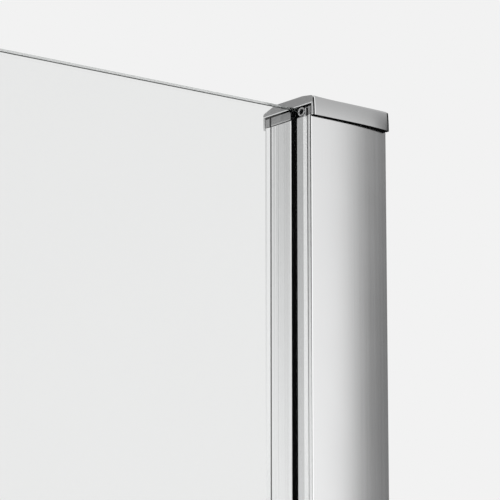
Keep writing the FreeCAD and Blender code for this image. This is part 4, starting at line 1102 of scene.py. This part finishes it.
# rows (radius, height) of the domes over the lock screws
coverProfile = [
    (4.9, 0), (5, 0.2), (5, 1.2), (4.86, 1.8), (4.5, 2.3), (3.8, 2.72), (2.8, 3.0), (1.6, 3.15), (0.3, 3.2),
]
for post, place in postPlaces.items():
    spots = [(channelSizes["lockReach"], nodeBox("front_screw_covers")[0][1], z) for z in lockHeights]
    domes = [turned(coverProfile, onPost(spot, place), place["axes"][1], 40) for spot in spots]
    makePiece(f"{post}ScrewCovers", domes, ["chrome"], f"{post}_screw_covers")
print("handles and screw covers built")

# Soft strips on the panes, with clear clips 1.2 thick

stripSizes = {
    "grip": 3.02, "leg": 4.2, "round": 0.35, "rim": 0.2, "bulb": (-295, 0, 4.3), "bulbHole": 3.1,
    "hingeClip": (-312, -300, -298.6), "hingeClear": 49,
    "dripTop": 28, "dripBase": (14.8, 16), "dripFin": (1.6, 3, 8.6), "magnetEdge": 0.3,
    "latchClip": (-872, -886, -901.2), "latchRoom": (-900, -888.4, 3),
    "sideClip": (27, 13, 4.6), "sideRoom": (5.8, 11.8, 3.6),
}


def clipSection(end, edge, base):
    # a U that grips a pane's edge, in (along the pane, across it), with a base past the edge
    s = stripSizes
    leg, grip = s["leg"], s["grip"]
    corners = [
        (end, -leg), (base, -leg), (base, leg), (end, leg),
        (end, grip), (edge, grip), (edge, -grip), (end, -grip),
    ]
    return roundCorners(corners, s["round"], 4)


def roomSection(low, high, half):
    # the hollow of a strip that holds its magnet
    return rectangle((low, -half), (high, half), stripSizes["round"], 4)


def dripSection():
    # a U under the door's lower edge with a thin fin below it, in (y, height)
    s = stripSizes
    leg, grip, top = s["leg"], s["grip"], s["dripTop"]
    base, edge = s["dripBase"]
    near, far, tip = s["dripFin"]
    corners = [
        (-leg, base), (near, base), (near, tip), (far, tip), (far, base), (leg, base), (leg, top),
        (grip, top), (grip, edge), (-grip, edge), (-grip, top), (-leg, top),
    ]
    return roundCorners(corners, s["round"], 4)


def hingeStrip():
    # three lengths of clip, each with a hollow bulb about the hinge axis
    s = stripSizes
    low, high = (corner[2] for corner in nodeBox("hinge_side_seal"))
    gaps = [centre + way * s["hingeClear"] for centre in hingeLevels.values() for way in (-1, 1)]
    stops = [low, *gaps, high]
    clip = [clipSection(*s["hingeClip"])]
    bulb = [circleRing(*s["bulb"], 40), circleRing(*s["bulb"][:2], s["bulbHole"], 40)]
    parts = []
    for start, stop in zip(stops[::2], stops[1::2]):
        levels = rimLevels(start, stop, s["rim"], 2)
        parts += [prism(clip, levels), prism(bulb, levels)]
    return parts


def magnetStrip(side, node, *place):
    # a clip with a hollow for the magnet, carried up the edge of a pane
    s = stripSizes
    rings = [clipSection(*s[side + "Clip"]), roomSection(*s[side + "Room"])]
    return prism(rings, alongBox(node, "z", s["rim"]), *place)


drip = prism([dripSection()], alongBox("door_drip_seal", "x", stripSizes["rim"]), runs["x"])
sideAxes = [(0, 1, 0), (1, 0, 0), (0, 0, 1)]
strike = magnetStrip("side", "side_magnet_seal", sideAxes, (sidePlane, 0, 0))
stripParts = {
    "hingeSideSeal": ("hinge_side_seal", "door", hingeStrip()),
    "doorDripSeal": ("door_drip_seal", "door", [drip]),
    "doorMagnetSeal": ("door_magnet_seal", "door", [magnetStrip("latch", "door_magnet_seal")]),
    "sideMagnetSeal": ("side_magnet_seal", "fixed_frame", [strike]),
}
for name, (node, body, parts) in stripParts.items():
    makePiece(name, parts, ["clearVinyl"], node, body, shadow=False)
for name, body in (("door", "door"), ("side", "fixed_frame")):
    strip = block(*nodeBox(f"{name}_magnet"), stripSizes["magnetEdge"], "z")
    makePiece(f"{name}Magnet", [strip], ["magnet"], f"{name}_magnet", body)
print("strips built")

# Support bar and its saddle clamps

barSizes = {
    "round": 1.5, "rim": 0.2, "slot": 3.2, "slotMouth": 0.5, "slotRoot": 0.3, "clampEdge": 1.0,
    "clampRim": 0.3, "grubBelow": 16, "grubFoot": 3.0, "grubHole": 2.6, "grubDrill": (12, 9),
}
grubProfile = [
    (2.3, 0), (2.5, 0.2), (2.5, 6.3), (2.35, 6.6), (1.5, 6.6), (1.4, 6.5, 1), (1.35, 4.6, 1), (0.1, 4.4, 1),
]


def saddleSection(low, high, foot, top, middle):
    # an upside-down U over a pane's top edge
    s = barSizes
    near, far = middle - s["slot"], middle + s["slot"]
    corners = [
        (low, foot), (near, foot), (near, paneTop), (far, paneTop),
        (far, foot), (high, foot), (high, top), (low, top),
    ]
    edge, mouth, root = s["clampEdge"], s["slotMouth"], s["slotRoot"]
    return roundCorners(corners, [edge, mouth, root, root, mouth, edge, edge, edge])


low, high = nodeBox("support_bar")
ring = rectangle(low[1:], high[1:], barSizes["round"])
bar = prism([ring], rimLevels(low[0], high[0], barSizes["rim"], 2), runs["x"])
makePiece("supportBar", [bar], ["crossAluminium"], "support_bar")
# run of each clamp, the axis across its pane, the middle of the pane and the spot of its grub screw
clampPlaces = {"front": ("x", 1, 0, (-268, 0)), "side": ("y", 0, sidePlane, (sidePlane, 26))}
grubs = []
for post, (run, i, middle, spot) in clampPlaces.items():
    s, node = barSizes, f"{post}_bar_clamp"
    low, high = nodeBox(node)
    section = saddleSection(low[i], high[i], low[2], high[2], middle)
    skin = prism([section], alongBox(node, run, s["clampRim"]), runs[run])
    out, foot = np.eye(3)[i], np.array([*spot, paneTop - s["grubBelow"]])
    start, long = s["grubDrill"]
    hole = turned([(s["grubHole"], 0), (s["grubHole"], long)], foot - start * out, out)
    drill(makePiece(f"{post}BarClamp", [skin], ["chrome"], node), [hole])
    grubs.append(turned(grubProfile, foot - s["grubFoot"] * out, -out, 40))
makePiece("clampGrubs", grubs, ["steel"], "bar_clamp_screws")
print("support bar built")

# CAD nodes that keep their shape

nodeFinishes = {
    "steel": ("front_lock_screws", "side_lock_screws", "handle_bolts"),
    "plastic": ("hinge_bushes",),
    "rubber": ("hinge_fixed_pads", "hinge_door_pads"),
}
for key, names in nodeFinishes.items():
    for name in names:
        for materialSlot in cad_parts[name].material_slots:
            materialSlot.material = finishes[key]
print("CAD nodes dressed:", sum(map(len, nodeFinishes.values())))


# Studio: pale floor, pale world, soft lamps

studio = {
    "pale": 0.888, "fill": 0.7, "middle": (-0.45, 0.45), "lampAim": 1.0,
    # brightness of what the metal mirrors, and where it is: height bands and compass sectors
    "room": (0.12, 0.27, 1.02, 0.6), "key": (0.1, 0.5, 0.96, 0.56), "keyFacing": (-76, 34, 26),
    "rim": 1.5, "rimFacing": (-92, 20, 12), "strip": 1.05, "stripFacing": (158, 14, 8),
    "screen": 0.16, "screenFacing": (-20, 28.4, 23.0, 0.06), "screenTop": (0.22, 0.5),
    "doorway": 0.04, "doorwayFacing": (216, 46, 34), "doorwayBand": (0.14, 0.26, 0.5, 0.7),
    "stand": 0.03, "standFacing": (232, 14, 7), "standTop": (0.3, 0.4),
}
floorLook = {
    "tone": 0.82, "toneSpread": 0.01, "mottle": 6, "rough": 0.9, "specular": 0.1, "fade": (1.6, 3.4),
    "radius": 30, "sink": 0.0005,
}


def discMesh(name, radius, z, rings=24, count=96):
    # a flat disc: circles of growing radius about a middle face
    r = np.geomspace(0.05, radius, rings)
    a = np.arange(count) * 2 * np.pi / count
    points = np.stack([r[:, None] * np.cos(a), r[:, None] * np.sin(a), np.full((rings, count), z)], -1)
    mesh = bpy.data.meshes.new(name)
    faces = gridFaces(rings, count)[:, ::-1].tolist() + [list(range(count))]
    mesh.from_pydata(points.reshape(-1, 3).tolist(), [], faces)
    return mesh


def floorFinish():
    # matt pale floor that melts into the background away from the object
    look = floorLook
    material, place, shader = startFinish("floorFinish", {
        "Roughness": look["rough"], "Specular IOR Level": look["specular"],
    })
    mottle = speckle(place, look["mottle"], detail=4)
    feed(shader, {"Base Color": colourMix(mottle, *tonePair(look))})
    ends = {0: place, 1: (*studio["middle"], 0)}
    far = place.node("ShaderNodeVectorMath", {"operation": "DISTANCE"}, ends, 1).between(*look["fade"])
    glow = place.node("ShaderNodeEmission", {}, {"Color": grey(studio["pale"]), "Strength": 1.0})
    shaderOut = Wire(place.tree, shader.outputs[0])
    mixed = place.node("ShaderNodeMixShader", {}, {0: far, 1: shaderOut, 2: glow})
    place.tree.links.new(mixed.socket, place.tree.nodes["Material Output"].inputs["Surface"])
    return material


floorMesh = discMesh("floor", floorLook["radius"], -floorLook["sink"])
floorMesh.materials.append(floorFinish())
floor = addObject("floor", floorMesh)
floor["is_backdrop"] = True


def paleWorld():
    # background and fill are even; what metal mirrors is a pale room, bright near the floor, with a soft
    # lamp screen and two strip lamps, a dark screen beside them, a dark doorway and the camera's dark stand
    world = bpy.data.worlds.new("paleWorld")
    world.use_nodes = True
    tree = world.node_tree
    coords = tree.nodes.new("ShaderNodeTexCoord")
    toward = Wire(tree, coords.outputs["Generated"])
    split = tree.nodes.new("ShaderNodeSeparateXYZ")
    tree.links.new(toward.socket, split.inputs[0])
    x, y, z = (Wire(tree, socket) for socket in split.outputs)
    level = (x * x + y * y + 1e-6) ** 0.5

    def facing(degrees, outside, inside, lean=0):
        # soft sector of the compass about an angle from +x: 1 within inside degrees of it, 0 past outside;
        # with a lean it narrows upwards
        a = math.radians(degrees)
        cosine = (x * math.cos(a) + y * math.sin(a)) / level - z * lean
        return cosine.between(math.cos(math.radians(outside)), math.cos(math.radians(inside)))

    mirrored = z.between(*studio["room"])
    mirrored = mirrored + (z.between(*studio["key"]) - mirrored) * facing(*studio["keyFacing"])
    a, b, c, d = studio["doorwayBand"]
    shares = {
        "rim": facing(*studio["rimFacing"]), "strip": facing(*studio["stripFacing"]),
        "screen": facing(*studio["screenFacing"]) * z.between(*studio["screenTop"], 1, 0),
        "doorway": facing(*studio["doorwayFacing"]) * z.between(a, b) * z.between(c, d, 1, 0),
        "stand": facing(*studio["standFacing"]) * z.between(*studio["standTop"], 1, 0),
    }
    for key, share in shares.items():
        mirrored = mirrored + (studio[key] - mirrored) * share
    path = tree.nodes.new("ShaderNodeLightPath")
    camera, through = (Wire(tree, path.outputs[f"Is {kind} Ray"]) for kind in ("Camera", "Transmission"))
    bounces = Wire(tree, path.outputs["Glossy Depth"])
    glossy = bounces.sum("MINIMUM", bounces, 1.0)
    plain = studio["fill"] + (studio["pale"] - studio["fill"]) * (camera + through)
    value = plain + (mirrored - plain) * glossy
    background = tree.nodes["Background"]
    tree.links.new(value.socket, background.inputs["Color"])
    background.inputs["Strength"].default_value = 1.0
    return world


scene = bpy.context.scene
scene.world = paleWorld()
scene.view_settings.view_transform = "Standard"

lampSizes = {
    "keyLamp": {"at": (-2.2, -2.6, 3.0), "size": 2.0, "power": 60},
    "backLamp": {"at": (1.2, 2.4, 3.2), "size": 2.0, "power": 30},
}


def aim(thing, at, ahead):
    # puts a lamp or camera somewhere, looking ahead
    thing.location = at
    thing.rotation_mode = "QUATERNION"
    thing.rotation_quaternion = ahead.to_track_quat("-Z", "Y")


for name, lamp in lampSizes.items():
    light = bpy.data.lights.new(name, "AREA")
    light.shape, light.size, light.energy = "DISK", lamp["size"], lamp["power"]
    thing = addObject(name, light)
    aim(thing, lamp["at"], Vector((*studio["middle"], studio["lampAim"])) - Vector(lamp["at"]))
    # metal and glass mirror the world instead
    thing.visible_camera = thing.visible_glossy = thing.visible_transmission = False
print("studio set")


# Camera at the photograph's angle: low, close to the top of the front wall post

cameraView = {
    "at": (-0.75389, -0.897902, 1.639548), "azimuth": 37.6655, "elevation": 12.2826,
    "lens": 216.6, "sensor": 36, "clip": (0.05, 100),
}
azimuth, elevation = math.radians(cameraView["azimuth"]), math.radians(cameraView["elevation"])
ahead = Vector((
    math.sin(azimuth) * math.cos(elevation), math.cos(azimuth) * math.cos(elevation), math.sin(elevation),
))
lens = bpy.data.cameras.new("camera")
lens.lens, lens.sensor_width = cameraView["lens"], cameraView["sensor"]
lens.clip_start, lens.clip_end = cameraView["clip"]
camera = addObject("camera", lens)
aim(camera, cameraView["at"], ahead)
scene.camera = camera

low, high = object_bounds()
print("visual box:", [round(v, 4) for v in low], [round(v, 4) for v in high])
